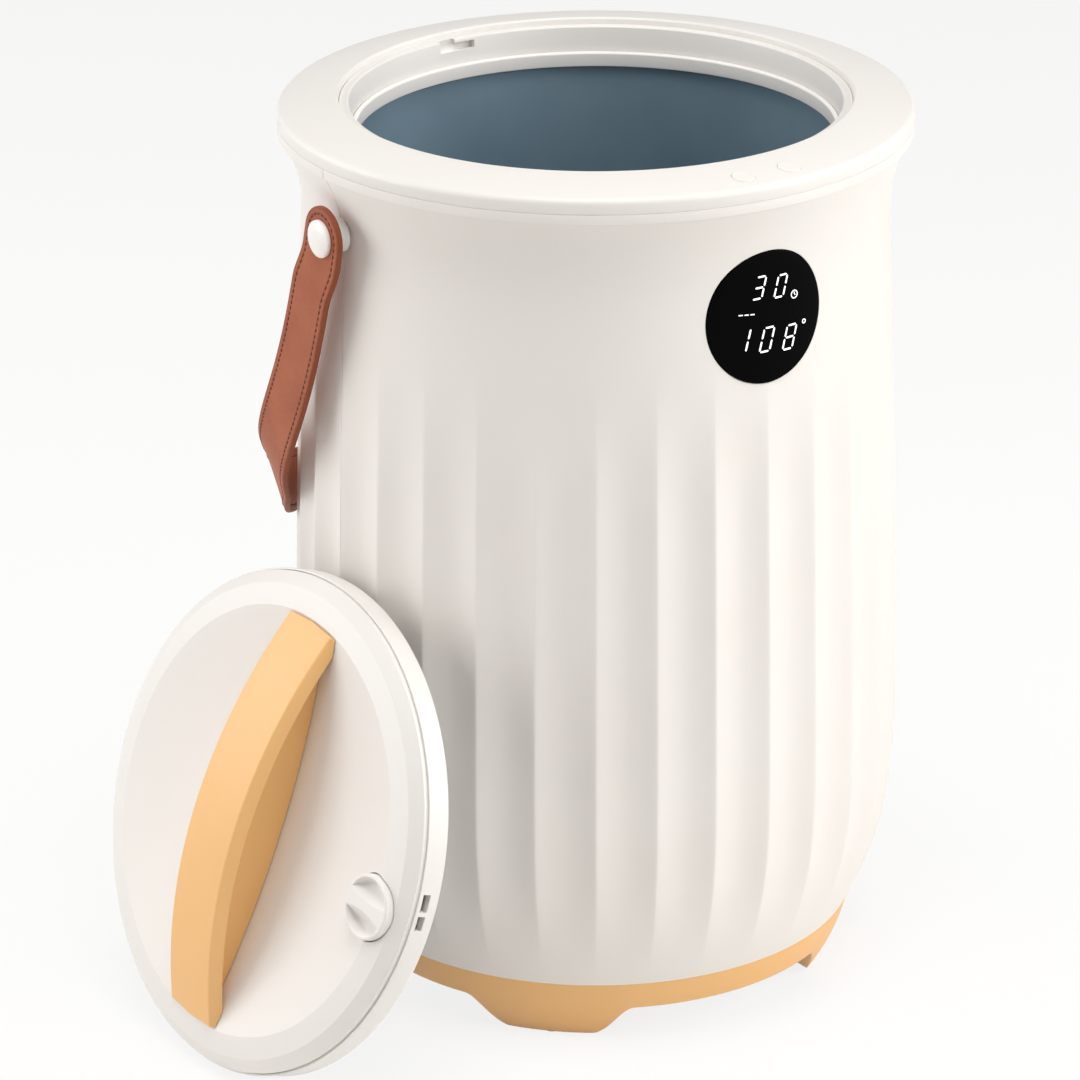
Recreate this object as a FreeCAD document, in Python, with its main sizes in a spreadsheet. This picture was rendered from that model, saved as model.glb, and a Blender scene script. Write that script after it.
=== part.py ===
"""Bucket towel warmer with its lid leaning on it: every piece is a solid of its own.

Millimetres. The bucket stands on the floor (z = 0) with its axis on Z and its display
towards -Y. Azimuth is counted from -Y towards +X. Lid pieces are made round the lid's own
axis, from the bottom of its plug upwards, and then placed together.
"""
import FreeCAD, Part
import math
import os
import re
import Sketcher
from FreeCAD import Placement, Rotation, Vector

SIZES = {
    # Top ring
    "rim_radius": 150.0,
    "ring_width": 29.0,
    "ring_seam_height": 427.6,
    "ring_edge_rise": 7.0,
    "ring_crest_rise": 4.8,
    "ring_wall": 2.8,
    "ring_round": 3.2,
    # Collar under the ring
    "collar_ledge_width": 4.6,
    "collar_ledge_drop": 3.3,
    "collar_flange_width": 10.0,
    "collar_flange_drop": 5.3,
    "collar_wall": 2.5,
    "collar_throat_step": 1.1,
    "collar_throat_drop": 6.5,
    "collar_foot_drop": 3.3,
    "slot_floor_drop": 5.7,
    "slot_run_height": 3.9,
    "slot_depth": 2.0,
    "slot_entry_width": 9.0,
    "slot_run_width": 20.0,
    "slot_azimuth": 184.6,
    # Lip and liner
    "lip_slope_width": 2.2,
    "lip_slope_drop": 0.6,
    "lip_skirt_wall": 3.0,
    "lip_skirt_drop": 1.8,
    "lip_flange_width": 7.0,
    "lip_flange_wall": 2.6,
    "liner_wall": 1.0,
    "liner_flange_width": 5.5,
    "liner_floor_clearance": 10.4,
    "liner_corner_radius": 14.0,
    # Heater and insulation
    "film_wall": 0.8,
    "film_foot_rise": 31.0,
    "film_top_drop": 88.4,
    "sleeve_wall": 6.0,
    "sleeve_foot_rise": 15.0,
    "sleeve_top_drop": 14.4,
    # Fluted shells
    "shell_wall": 2.8,
    "shell_foot_inset": 23.7,
    "shell_belly_inset": 3.0,
    "shell_belly_height": 130.0,
    "shell_neck_inset": 10.7,
    "shell_cove_rise": 34.6,
    "rim_band_step": 1.5,
    "rim_band_height": 5.0,
    "belly_round_power": 2.5,
    "neck_round_power": 1.4,
    "flute_count": 32,
    "flute_depth": 3.4,
    "flute_fade_low": 70.8,
    "flute_fade_high": 94.0,
    "flute_end_drop": 32.0,
    # Base ring and its feet
    "base_height": 33.2,
    "base_flank_radius": 88.0,
    "base_wall": 9.9,
    "base_shelf_height": 16.0,
    "foot_inset": 13.7,
    "foot_width": 11.6,
    "foot_shelf_height": 9.5,
    "sole_height": 0.6,
    "arch_height": 18.2,
    "foot_half_width": 10.78,
    "arch_shoulder_width": 13.6,
    "arch_bend": 7.0,
    "pad_radius": 5.0,
    "pad_inset": 6.0,
    "pad_height": 2.6,
    # Chassis, bottom cover, cord gland
    "chassis_inset": 3.7,
    "chassis_wall": 3.0,
    "post_radius": 6.0,
    "post_inset": 36.1,
    "stud_radius": 4.4,
    "stud_inset": 20.4,
    "cover_foot_height": 19.0,
    "cover_wall": 2.5,
    "gland_drop": 7.2,
    "gland_radius": 4.6,
    "gland_flange_radius": 6.4,
    "gland_flange_wall": 2.4,
    "gland_bore_radius": 3.1,
    # Electronics
    "board_wall": 1.6,
    "board_length": 84.0,
    "board_width": 58.0,
    "board_rise": 5.8,
    "relay_length": 19.0,
    "relay_width": 15.0,
    "relay_height": 15.0,
    "choke_radius": 9.0,
    "choke_height": 14.0,
    "standoff_radius": 3.0,
    "thermostat_radius": 12.0,
    "thermostat_height": 9.0,
    "fuse_radius": 3.0,
    "fuse_length": 22.0,
    "fuse_offset": 34.0,
    "cable_width": 12.0,
    "cable_wall": 1.2,
    "cable_standoff": 1.5,
    "cable_plug_radius": 24.0,
    # Display
    "lens_drop": 20.0,
    "lens_radius": 31.5,
    "lens_proud": 0.5,
    "lens_wall": 2.0,
    "housing_wall": 2.2,
    "housing_standoff": 2.5,
    # Push buttons
    "button_radius": 5.4,
    "button_inset": 11.4,
    "button_azimuth": 5.2,
    "button_proud": 0.4,
    "button_flange_radius": 6.2,
    "button_flange_wall": 0.8,
    "button_travel": 0.8,
    "plunger_radius": 1.8,
    "switch_width": 5.0,
    "switch_height": 1.0,
    "switch_board_rise": 0.6,
    "switch_board_inner_width": 6.6,
    "switch_board_outer_width": 7.4,
    "switch_board_azimuth": 14.0,
    "switch_post_radius": 2.4,
    "switch_post_azimuth": 11.0,
    # Screws
    "screw_radius": 1.5,
    "screw_head_radius": 2.9,
    "screw_head_wall": 1.8,
    "boss_radius": 3.5,
    "boss_inset": 5.6,
    # Strap and its rivets
    "hinge_drop": 33.0,
    "strap_width": 30.0,
    "strap_half_wall": 1.5,
    "strap_rivet_standoff": 10.9,
    "strap_leg_clearance": 3.2,
    "strap_hug_clearance": 3.6,
    "strap_back_clearance": 9.5,
    "strap_flat_drop": 9.5,
    "strap_leg_drop": 28.0,
    "strap_bend_arc": 24.6,
    "strap_bent_arc": 82.5,
    "strap_twist_arc": 110.0,
    "strap_turn_arc": 203.0,
    "strap_drop": 178.8,
    "strap_lean_angle": 15.4,
    "strap_reach_share": 0.82,
    "strap_sweep_share": 0.354,
    "rivet_radius": 3.0,
    "rivet_cap_radius": 8.9,
    "rivet_cap_wall": 2.0,
    "rivet_dome": 1.6,
    "rivet_crown_radius": 4.6,
    "rivet_round_radius": 8.0,
    "rivet_tail_length": 8.9,
    "washer_radius": 8.0,
    "nut_radius": 6.5,
    "nut_wall": 3.0,
    # Lid, heights from the bottom of its plug
    "lid_gap": 1.0,
    "lid_plug_gap": 3.0,
    "lid_plug_depth": 7.0,
    "lid_wall": 2.6,
    "lid_flange_height": 10.9,
    "lid_cover_inset": 1.2,
    "lid_band_height": 3.0,
    "lid_chamfer_width": 6.2,
    "lid_chamfer_height": 4.4,
    "lid_border_width": 10.6,
    "lid_border_rise": 1.8,
    "dish_depth": 10.0,
    "lug_reach": 3.8,
    "lug_width": 8.0,
    "lug_foot": 1.4,
    "lug_height": 3.0,
    "lid_slot_width": 7.4,
    "lid_slot_height": 4.2,
    "lid_slot_drop": 1.1,
    "lid_slot_depth": 5.0,
    "lid_slot_rib": 2.0,
    "lid_slot_azimuth": 93.5,
    "lid_post_inset": 2.5,
    "lid_seal_wall": 1.0,
    "lid_seal_width": 6.2,
    "reflector_inset": 0.6,
    "reflector_wall": 1.0,
    "foam_inset": 40.0,
    "foam_wall": 2.6,
    "lid_screw_length": 11.0,
    # Lid handle
    "handle_half_width": 17.0,
    "handle_bevel": 2.2,
    "handle_bevel_drop": 7.5,
    "handle_web_half_width": 11.0,
    "handle_end_gap": 0.8,
    "handle_end_rise": 1.1,
    "handle_arch_rise": 21.8,
    "handle_screw_pitch": 46.0,
    "handle_screw_length": 10.0,
    # Scent knob
    "knob_inset": 4.8,
    "knob_radius": 15.4,
    "knob_rise": 2.5,
    "knob_height": 14.0,
    "knob_rim_wall": 1.8,
    "knob_pocket_depth": 6.5,
    "knob_bar_half_width": 2.6,
    "knob_bar_angle": -2.0,
    "cup_wall": 1.5,
    "cup_overlap": 3.8,
    "cup_floor_wall": 1.2,
    "cup_shoulder": 1.6,
    "scent_pad_wall": 2.4,
    # Lid resting place
    "lid_tilt_angle": 18.4,
    "lid_azimuth": -85.7,
    "lid_roll_angle": -4.7,
    "lid_touch_inset": 0.718,
    # Clearances
    "running_gap": 0.06,
    "close_gap": 0.3,
    "overrun": 5.0,
}

# Places that follow from the sizes, as formulas of the sheet
PLACES = {
    "ring_inner_radius": "rim_radius - ring_width",
    "ring_edge_height": "ring_seam_height + ring_edge_rise",
    "ring_crest_height": "ring_edge_height + ring_crest_rise",
    "collar_ledge_radius": "ring_inner_radius - collar_ledge_width",
    "collar_ledge_height": "ring_crest_height - collar_ledge_drop",
    "collar_flange_radius": "ring_inner_radius + collar_flange_width",
    "collar_flange_height": "collar_ledge_height - collar_flange_drop",
    "collar_throat_radius": "collar_ledge_radius - collar_throat_step",
    "collar_throat_height": "collar_flange_height - collar_throat_drop",
    "collar_foot_height": "collar_throat_height - collar_foot_drop",
    "slot_floor_height": "collar_ledge_height - slot_floor_drop",
    "slot_depth_radius": "collar_ledge_radius + slot_depth",
    "lip_radius": "collar_throat_radius - close_gap - lip_slope_width",
    "lip_top_height": "collar_throat_height - close_gap - lip_slope_drop",
    "lip_flange_radius": "collar_throat_radius - close_gap + lip_flange_width",
    "liner_radius": "lip_radius + lip_skirt_wall + close_gap",
    "liner_top_height": "collar_foot_height - lip_flange_wall",
    "lip_foot_height": "liner_top_height - lip_skirt_drop",
    "liner_flange_radius": "liner_radius + liner_flange_width",
    "board_foot_height": "base_height + chassis_wall + board_rise",
    "board_top_height": "board_foot_height + board_wall + relay_height",
    "thermostat_foot_height": "board_top_height + liner_floor_clearance",
    "liner_floor_height": "thermostat_foot_height + thermostat_height + liner_wall",
    "film_radius": "liner_radius + liner_wall + close_gap",
    "film_foot_height": "liner_floor_height + film_foot_rise",
    "film_top_height": "liner_top_height - film_top_drop",
    "sleeve_radius": "film_radius + film_wall + close_gap",
    "sleeve_foot_height": "liner_floor_height + sleeve_foot_rise",
    "sleeve_top_height": "liner_top_height - sleeve_top_drop",
    "shell_foot_radius": "rim_radius - shell_foot_inset",
    "shell_belly_radius": "rim_radius - shell_belly_inset",
    "shell_neck_radius": "rim_radius - shell_neck_inset",
    "shell_cove_radius": "rim_radius - rim_band_step",
    "shell_cove_height": "ring_seam_height - rim_band_height",
    "shell_neck_height": "shell_cove_height - shell_cove_rise",
    "flute_full_low": "base_height + flute_fade_low",
    "flute_end_high": "shell_neck_height - flute_end_drop",
    "flute_full_high": "flute_end_high - flute_fade_high",
    "base_inner_radius": "shell_foot_radius - base_wall",
    "foot_radius": "shell_foot_radius - foot_inset",
    "foot_inner_radius": "foot_radius - foot_width",
    "pad_circle_radius": "foot_radius - pad_inset",
    "arch_foot_half_width": "pad_circle_radius * cos(45 deg) - foot_half_width",
    "arch_top_half_width": "arch_foot_half_width - arch_shoulder_width",
    "chassis_radius": "shell_foot_radius - chassis_inset",
    "post_circle_radius": "liner_radius - post_inset",
    "stud_circle_radius": "base_inner_radius - stud_inset",
    "gland_height": "base_height - gland_drop",
    "cable_radius": "sleeve_radius + sleeve_wall + cable_standoff",
    "lens_height": "shell_neck_height - lens_drop",
    "housing_back": "sleeve_radius + sleeve_wall + housing_standoff",
    "button_circle_radius": "rim_radius - button_inset",
    "switch_board_height": "ring_seam_height + switch_board_rise",
    "switch_board_inner_radius": "button_circle_radius - switch_board_inner_width",
    "switch_board_outer_radius": "button_circle_radius + switch_board_outer_width",
    "boss_circle_radius": "ring_inner_radius + boss_inset",
    "hinge_height": "ring_seam_height - hinge_drop",
    "strap_rivet_radius": "shell_neck_radius + strap_rivet_standoff",
    "strap_leg_radius": "rim_radius + strap_leg_clearance",
    "strap_hug_radius": "rim_radius + strap_hug_clearance",
    "strap_back_radius": "rim_radius + strap_back_clearance",
    "rivet_tail_radius": "shell_neck_radius - rivet_tail_length",
    "lid_radius": "ring_inner_radius - lid_gap",
    "lid_plug_radius": "lip_radius - lid_plug_gap",
    "lid_flange_top": "lid_plug_depth + lid_flange_height",
    "lid_cover_radius": "lid_radius - lid_cover_inset",
    "lid_band_top": "lid_flange_top + lid_band_height",
    "lid_border_radius": "lid_cover_radius - lid_chamfer_width",
    "lid_border_height": "lid_band_top + lid_chamfer_height",
    "dish_radius": "lid_border_radius - lid_border_width",
    "dish_height": "lid_border_height + lid_border_rise",
    "dish_curve_radius": "(dish_radius ^ 2 + dish_depth ^ 2) / (2 * dish_depth)",
    "lug_radius": "lid_plug_radius + lug_reach",
    "lid_slot_top": "lid_flange_top - lid_slot_drop",
    "lid_post_circle_radius": "dish_radius - lid_post_inset",
    "lid_seal_radius": "lid_plug_radius + lid_seal_width",
    "foam_radius": "dish_radius - foam_inset",
    "handle_end_radius": "dish_radius - handle_end_gap",
    "handle_end_height": "dish_height + handle_end_rise",
    "handle_crown_height": "handle_end_height + handle_arch_rise",
    "knob_circle_radius": "dish_radius - knob_inset",
    "knob_top": "dish_height + knob_rise",
    "knob_foot": "knob_top - knob_height",
    "cup_top": "knob_foot + cup_overlap",
}

doc = FreeCAD.newDocument("towel_warmer")
sheet = doc.addObject("Spreadsheet::Sheet", "Sizes")
formulas = {name: "=" + text for name, text in PLACES.items()}
for row, (name, value) in enumerate({**SIZES, **formulas}.items(), start=1):
    sheet.set(f"A{row}", name)
    sheet.set(f"B{row}", str(value))
    sheet.setAlias(f"B{row}", name)
doc.recompute()

TERM = re.compile(r"([+-]?)\s*([a-z_]+)")
PIECES = []


def mm(text):
    """Value of a sum of named sizes."""
    total = 0.0
    for sign, word in TERM.findall(text):
        total += -sheet.get(word) if sign == "-" else sheet.get(word)
    return total


def bound(text):
    """The same sum as an expression on the sheet."""
    return TERM.sub(lambda term: f"{term.group(1)} Sizes.{term.group(2)}", text)


def azimuth_place(azimuth, radius=0.0, height=0.0):
    """Local X pointing outwards at an azimuth, local Z up."""
    turn = Rotation(Vector(0, 0, 1), azimuth - 90)
    return Placement(turn.multVec(Vector(radius, 0, height)), turn)


def radial_place(azimuth, radius, height):
    """Local Z pointing outwards at an azimuth."""
    tip = Placement(Vector(), Rotation(Vector(0, 1, 0), 90))
    return azimuth_place(azimuth, radius, height).multiply(tip)


def keep(label, piece, place=None):
    """Name a finished piece and set where it stands."""
    piece.Label = label
    if place is not None:
        piece.Placement = place.multiply(piece.Placement)
    PIECES.append((label, piece))
    return piece


def arc_centre(start, end, radius, side):
    """Centre to the left (side 1) or to the right (side -1) of the way from start to end."""
    along = end - start
    left = Vector(-along.y, along.x, 0).normalize()
    return (start + end) / 2 + left * side * math.sqrt(max(radius ** 2 - along.Length ** 2 / 4, 0))


def arc_between(start, end, radius, side):
    """Minor arc, counter-clockwise whichever end it starts from."""
    centre = arc_centre(start, end, radius, side)
    ends = [start - centre, end - centre][::side]
    angles = [math.atan2(spoke.y, spoke.x) for spoke in ends]
    return Part.ArcOfCircle(Part.Circle(centre, Vector(0, 0, 1), radius), *angles)


def turned(label, outline):
    """Body turned about Z: each corner is (radius, height), or with the arc that leads to it."""
    body = doc.addObject("PartDesign::Body", label)
    sketch = body.newObject("Sketcher::SketchObject", label + "_outline")
    plane = [item for item in body.Origin.OriginFeatures if item.Role == "XZ_Plane"][0]
    sketch.AttachmentSupport = [(plane, "")]
    sketch.MapMode = "FlatFace"
    corners = [Vector(mm(corner[0]), mm(corner[1]), 0) for corner in outline]
    firsts = []
    for at, start in enumerate(corners):
        after = (at + 1) % len(corners)
        if len(outline[after]) == 4:
            bend, side = outline[after][2:]
            sketch.addGeometry(arc_between(start, corners[after], mm(bend), side), False)
        else:
            sketch.addGeometry(Part.LineSegment(start, corners[after]), False)
        firsts.append(2 if outline[after][3:] == (-1,) else 1)
    for at, corner in enumerate(outline):
        after = (at + 1) % len(outline)
        sketch.addConstraint(
            Sketcher.Constraint("Coincident", at, 3 - firsts[at], after, firsts[after]))
        for kind, axis, text in (("DistanceX", -2, corner[0]), ("DistanceY", -1, corner[1])):
            if mm(text) == 0:
                sketch.addConstraint(Sketcher.Constraint("PointOnObject", at, firsts[at], axis))
                continue
            held = sketch.addConstraint(
                Sketcher.Constraint(kind, -1, 1, at, firsts[at], mm(text)))
            sketch.setExpression(f"Constraints[{held}]", bound(text))
        if len(outline[after]) == 4:
            held = sketch.addConstraint(Sketcher.Constraint("Radius", at, mm(outline[after][2])))
            sketch.setExpression(f"Constraints[{held}]", bound(outline[after][2]))
    turn = body.newObject("PartDesign::Revolution", label + "_turn")
    turn.Profile = sketch
    turn.ReferenceAxis = (sketch, ["V_Axis"])
    turn.Angle = 360
    sketch.Visibility = False
    doc.recompute()
    return body


def rounded(body, radius, height, size):
    """Round the circular edges of a turned body that lie at one radius and height."""
    edges = []
    for at, edge in enumerate(body.Shape.Edges, start=1):
        level = abs(edge.BoundBox.ZMax - mm(height)) < mm("running_gap")
        if level and abs(edge.BoundBox.XMax - mm(radius)) < mm("running_gap"):
            edges.append(f"Edge{at}")
    turn = body.Tip
    feature = body.newObject("PartDesign::Fillet", body.Name + "_round")
    feature.Base = (turn, edges)
    feature.setExpression("Radius", bound(size))
    doc.recompute()
    return body


def rod(name, radius, height, place=None):
    """Cylinder standing on its place; a worked-out height is given as a number."""
    tool = doc.addObject("Part::Cylinder", name)
    tool.setExpression("Radius", bound(radius))
    if isinstance(height, str):
        tool.setExpression("Height", bound(height))
    else:
        tool.Height = height
    if place is not None:
        tool.Placement = place
    return tool


def block(name, length, width, height, place=None):
    """Box standing on its place, its base centred there."""
    tool = doc.addObject("Part::Box", name)
    tool.setExpression("Length", bound(length))
    tool.setExpression("Width", bound(width))
    tool.setExpression("Height", bound(height))
    shift = Placement(Vector(-mm(length) / 2, -mm(width) / 2, 0), Rotation())
    tool.Placement = shift if place is None else place.multiply(shift)
    return tool


def joined(name, pieces):
    """Fusion of pieces."""
    fuse = doc.addObject("Part::MultiFuse", name)
    fuse.Shapes = pieces
    return fuse


def pierced(name, base, tools):
    """A piece less its tools."""
    gather = doc.addObject("Part::Compound", name + "_tools")
    gather.Links = tools
    cut = doc.addObject("Part::Cut", name)
    cut.Base = base
    cut.Tool = gather
    return cut


def grouped(name, pieces):
    """Like pieces kept as separate solids of one group."""
    group = doc.addObject("Part::Compound", name)
    group.Links = pieces
    return group


def shaped(name, shape):
    """Piece whose surface is made from curves."""
    piece = doc.addObject("Part::Feature", name)
    piece.Shape = shape
    return piece


def screw(name, length, place):
    """Pan-head screw: the seat of its head at the place, its shank along local Z."""
    seat = Placement(Vector(0, 0, -mm("screw_head_wall")), Rotation())
    pieces = [rod(name + "_head", "screw_head_radius", "screw_head_wall", seat),
              rod(name + "_shank", "screw_radius", length)]
    whole = joined(name, pieces)
    whole.Placement = place
    return whole


# Profile of the fluted body: radius of its ridges and depth of its flutes at a height

def ridge_radius(height):
    """Rounded belly below, slow taper to the neck, then a cove out to the rim band."""
    foot, belly, neck, cove = (mm(word) for word in (
        "base_height", "shell_belly_height", "shell_neck_height", "shell_cove_height"))
    belly_radius, neck_radius = mm("shell_belly_radius"), mm("shell_neck_radius")
    if height <= belly:
        way = (height - foot) / (belly - foot)
        rise = 1 - (1 - way) ** mm("belly_round_power")
        return mm("shell_foot_radius") + (belly_radius - mm("shell_foot_radius")) * rise
    if height <= neck:
        way = (height - belly) / (neck - belly)
        return belly_radius - (belly_radius - neck_radius) * way ** mm("neck_round_power")
    way = (height - neck) / (cove - neck)
    return neck_radius + (mm("shell_cove_radius") - neck_radius) * way ** 2


def eased(way):
    """Smooth step from 0 to 1."""
    way = min(max(way, 0), 1)
    return way * way * (3 - 2 * way)


def flute_depth(height):
    """Full over the middle, fading out below the display and into the rounded foot."""
    low = eased((height - mm("base_height")) / mm("flute_full_low - base_height"))
    high = eased((mm("flute_end_high") - height) / mm("flute_end_high - flute_full_high"))
    return mm("flute_depth") * low * high


def section_heights():
    """Heights of the shell's cross-sections, closer together in the rounded belly and cove."""
    foot, belly, neck, cove = (mm(word) for word in (
        "base_height", "shell_belly_height", "shell_neck_height", "shell_cove_height"))
    low_shares = (0, 0.07, 0.18, 0.32, 0.47, 0.64, 0.81)
    low = [foot + (belly - foot) * share for share in low_shares]
    middle = [belly + (neck - belly) * step / 9 for step in range(9)]
    high = [neck + (cove - neck) * step / 4 for step in range(5)]
    return low + middle + high


def flute_face(turn, step, shift):
    """Smooth face of one flute, scooped between its two ridges, moved in by the wall or not."""
    pitch = 360 / mm("flute_count")
    rows = []
    for height in section_heights():
        row = []
        for across_share in (0, 0.25, 0.5, 0.75, 1):
            scoop = 1 - (2 * across_share - 1) ** 2
            radius = ridge_radius(height) - flute_depth(height) * scoop - shift
            angle = math.radians(turn + pitch * (step + across_share))
            row.append(Vector(radius * math.sin(angle), -radius * math.cos(angle), height))
        rows.append(row)
    surface = Part.BSplineSurface()
    surface.interpolate(rows)
    return surface.toShape()


def shell_walls(turn):
    """Half shell: fluted faces outside and inside the wall, closed by flat faces."""
    count = int(mm("flute_count")) // 2
    faces = [flute_face(turn, step, shift) for shift in (0, mm("shell_wall"))
             for step in range(count)]
    edges = [edge for face in faces for edge in face.Edges]
    near = mm("running_gap")

    def rung(side, height):
        radius = ridge_radius(height)
        return Part.makeLine(Vector(side * radius, 0, height),
                             Vector(side * (radius - mm("shell_wall")), 0, height))

    def closing(border, rungs):
        return Part.Face(Part.Wire(Part.__sortEdges__(border + rungs)))

    levels = (mm("base_height"), mm("shell_cove_height"))
    for height in levels:
        border = [edge for edge in edges if abs(edge.BoundBox.ZMin - height) < near
                  and abs(edge.BoundBox.ZMax - height) < near]
        faces.append(closing(border, [rung(1, height), rung(-1, height)]))
    for side in (1, -1):
        border = [edge for edge in edges if edge.BoundBox.YLength < near
                  and abs(edge.BoundBox.YMin) < near and edge.BoundBox.XMin * side > 0]
        faces.append(closing(border, [rung(side, height) for height in levels]))
    skin = Part.makeCompound(faces)
    skin.sewShape()
    solid = Part.makeSolid(skin.Shells[0])
    if solid.Volume < 0:
        solid.reverse()
    return solid


def half_ring(inner, outer, low, high, turn):
    """Half of a flat ring."""
    corners = [Vector(inner, 0, low), Vector(outer, 0, low), Vector(outer, 0, high),
               Vector(inner, 0, high)]
    face = Part.Face(Part.makePolygon(corners + corners[:1]))
    face.rotate(Vector(), Vector(0, 0, 1), turn - 90)
    return face.revolve(Vector(), Vector(0, 0, 1), 180)


def shell_half(turn):
    """Half shell with the rim band on its cove."""
    inside = mm("shell_cove_radius - shell_wall + close_gap")
    band = half_ring(inside, mm("rim_radius"), mm("shell_cove_height"), mm("ring_seam_height"),
                     turn)
    return shell_walls(turn).fuse(band)


# Top ring, with screw bosses below it and posts for the switch board

ring = turned("top_ring_body", [
    ("rim_radius", "ring_seam_height"),
    ("rim_radius", "ring_edge_height"),
    ("ring_inner_radius", "ring_crest_height"),
    ("ring_inner_radius", "collar_flange_height"),
    ("ring_inner_radius + ring_wall", "collar_flange_height"),
    ("ring_inner_radius + ring_wall", "ring_crest_height - ring_wall"),
    ("rim_radius - ring_wall", "ring_edge_height - ring_wall"),
    ("rim_radius - ring_wall", "ring_seam_height"),
])
ring = rounded(ring, "rim_radius", "ring_edge_height", "ring_round")
screw_azimuths = [30 + 60 * step for step in range(6)]
boss_places = [azimuth_place(azimuth, mm("boss_circle_radius"), mm("collar_flange_height"))
               for azimuth in screw_azimuths]
bosses = [rod(f"boss_{at}", "boss_radius",
              "ring_crest_height - ring_wall - collar_flange_height", place)
          for at, place in enumerate(boss_places)]
ring_slope = math.degrees(math.atan2(mm("ring_crest_height - ring_edge_height"),
                                     mm("rim_radius - ring_inner_radius")))


def ring_top(radius):
    """Height of the ring's sloping face at a radius."""
    return mm("ring_edge_height") + math.tan(math.radians(ring_slope)) * (mm("rim_radius") - radius)


switch_post_circle = mm("switch_board_inner_radius + switch_board_outer_radius") / 2
switch_top = mm("switch_board_height + board_wall")
switch_posts = []
for at, azimuth in enumerate((-mm("switch_post_azimuth"), mm("switch_post_azimuth"))):
    length = ring_top(switch_post_circle) - mm("ring_wall") / 2 - switch_top
    switch_posts.append(rod(f"switch_post_{at}", "switch_post_radius", length,
                            azimuth_place(azimuth, switch_post_circle, switch_top)))


def button_place(azimuth):
    """Local Z square to the ring's sloping face, on that face."""
    lean = Placement(Vector(), Rotation(Vector(0, 1, 0), ring_slope))
    radius = mm("button_circle_radius")
    return azimuth_place(azimuth, radius, ring_top(radius)).multiply(lean)


button_azimuths = (-mm("button_azimuth"), mm("button_azimuth"))
below_ring = Placement(Vector(0, 0, -mm("overrun")), Rotation())
button_holes = [rod(f"button_hole_{at}", "button_radius + running_gap", "overrun + overrun",
                    button_place(azimuth).multiply(below_ring))
                for at, azimuth in enumerate(button_azimuths)]
boss_bores = [rod(f"boss_bore_{at}", "screw_radius + running_gap",
                  "ring_crest_height - ring_wall - collar_flange_height", place)
              for at, place in enumerate(boss_places)]
ring_whole = joined("top_ring_whole", [ring] + bosses + switch_posts)
keep("top_ring", pierced("top_ring", ring_whole, button_holes + boss_bores))

# Collar: lid ledge, throat wall and the two bayonet slots

collar = turned("collar_body", [
    ("collar_ledge_radius", "collar_ledge_height"),
    ("ring_inner_radius - close_gap", "collar_ledge_height"),
    ("ring_inner_radius - close_gap", "collar_flange_height"),
    ("collar_flange_radius", "collar_flange_height"),
    ("collar_flange_radius", "collar_flange_height - collar_wall"),
    ("collar_ledge_radius + collar_wall", "collar_flange_height - collar_wall"),
    ("collar_ledge_radius + collar_wall", "collar_foot_height"),
    ("collar_throat_radius", "collar_foot_height"),
    ("collar_throat_radius", "collar_throat_height"),
])
slots = []
for at in range(2):
    seat = azimuth_place(mm("slot_azimuth") + 180 * at)
    entry = block(f"slot_entry_{at}", "slot_depth_radius", "slot_entry_width",
                  "collar_ledge_height - slot_floor_height + overrun",
                  seat.multiply(Placement(Vector(mm("slot_depth_radius") / 2, 0,
                                                 mm("slot_floor_height")), Rotation())))
    side = (mm("slot_entry_width") - mm("slot_run_width")) / 2
    run = block(f"slot_run_{at}", "slot_depth_radius", "slot_run_width", "slot_run_height",
                seat.multiply(Placement(Vector(mm("slot_depth_radius") / 2, side,
                                               mm("slot_floor_height")), Rotation())))
    slots += [entry, run]
flange_foot = mm("collar_flange_height - collar_wall")
collar_bores = [rod(f"collar_bore_{at}", "screw_radius + close_gap", "collar_wall",
                    azimuth_place(azimuth, mm("boss_circle_radius"), flange_foot))
                for at, azimuth in enumerate(screw_azimuths)]
keep("collar", pierced("collar", collar, slots + collar_bores))
ring_screws = [screw(f"ring_screw_{at}", "ring_crest_height - ring_wall - collar_flange_height",
                     azimuth_place(azimuth, mm("boss_circle_radius"), flange_foot))
               for at, azimuth in enumerate(screw_azimuths)]
keep("ring_screws", grouped("ring_screws", ring_screws))

# Lip, liner, heater film and insulation sleeve

keep("liner_lip", turned("liner_lip", [
    ("lip_radius", "lip_foot_height"),
    ("lip_radius", "lip_top_height"),
    ("collar_throat_radius - close_gap", "collar_throat_height - close_gap"),
    ("collar_throat_radius - close_gap", "collar_foot_height"),
    ("lip_flange_radius", "collar_foot_height"),
    ("lip_flange_radius", "liner_top_height"),
    ("liner_radius - close_gap", "liner_top_height"),
    ("liner_radius - close_gap", "lip_foot_height"),
]))
keep("liner", turned("liner", [
    ("", "liner_floor_height"),
    ("liner_radius - liner_corner_radius", "liner_floor_height"),
    ("liner_radius", "liner_floor_height + liner_corner_radius", "liner_corner_radius", 1),
    ("liner_radius", "liner_top_height"),
    ("liner_flange_radius", "liner_top_height"),
    ("liner_flange_radius", "liner_top_height - liner_wall"),
    ("liner_radius + liner_wall", "liner_top_height - liner_wall"),
    ("liner_radius + liner_wall", "liner_floor_height + liner_corner_radius"),
    ("liner_radius - liner_corner_radius", "liner_floor_height - liner_wall",
     "liner_corner_radius + liner_wall", -1),
    ("", "liner_floor_height - liner_wall"),
]))
keep("heater_film", turned("heater_film", [
    ("film_radius", "film_foot_height"),
    ("film_radius + film_wall", "film_foot_height"),
    ("film_radius + film_wall", "film_top_height"),
    ("film_radius", "film_top_height"),
]))
keep("insulation_sleeve", turned("insulation_sleeve", [
    ("sleeve_radius", "sleeve_foot_height"),
    ("sleeve_radius + sleeve_wall", "sleeve_foot_height"),
    ("sleeve_radius + sleeve_wall", "sleeve_top_height"),
    ("sleeve_radius", "sleeve_top_height"),
]))

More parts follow.
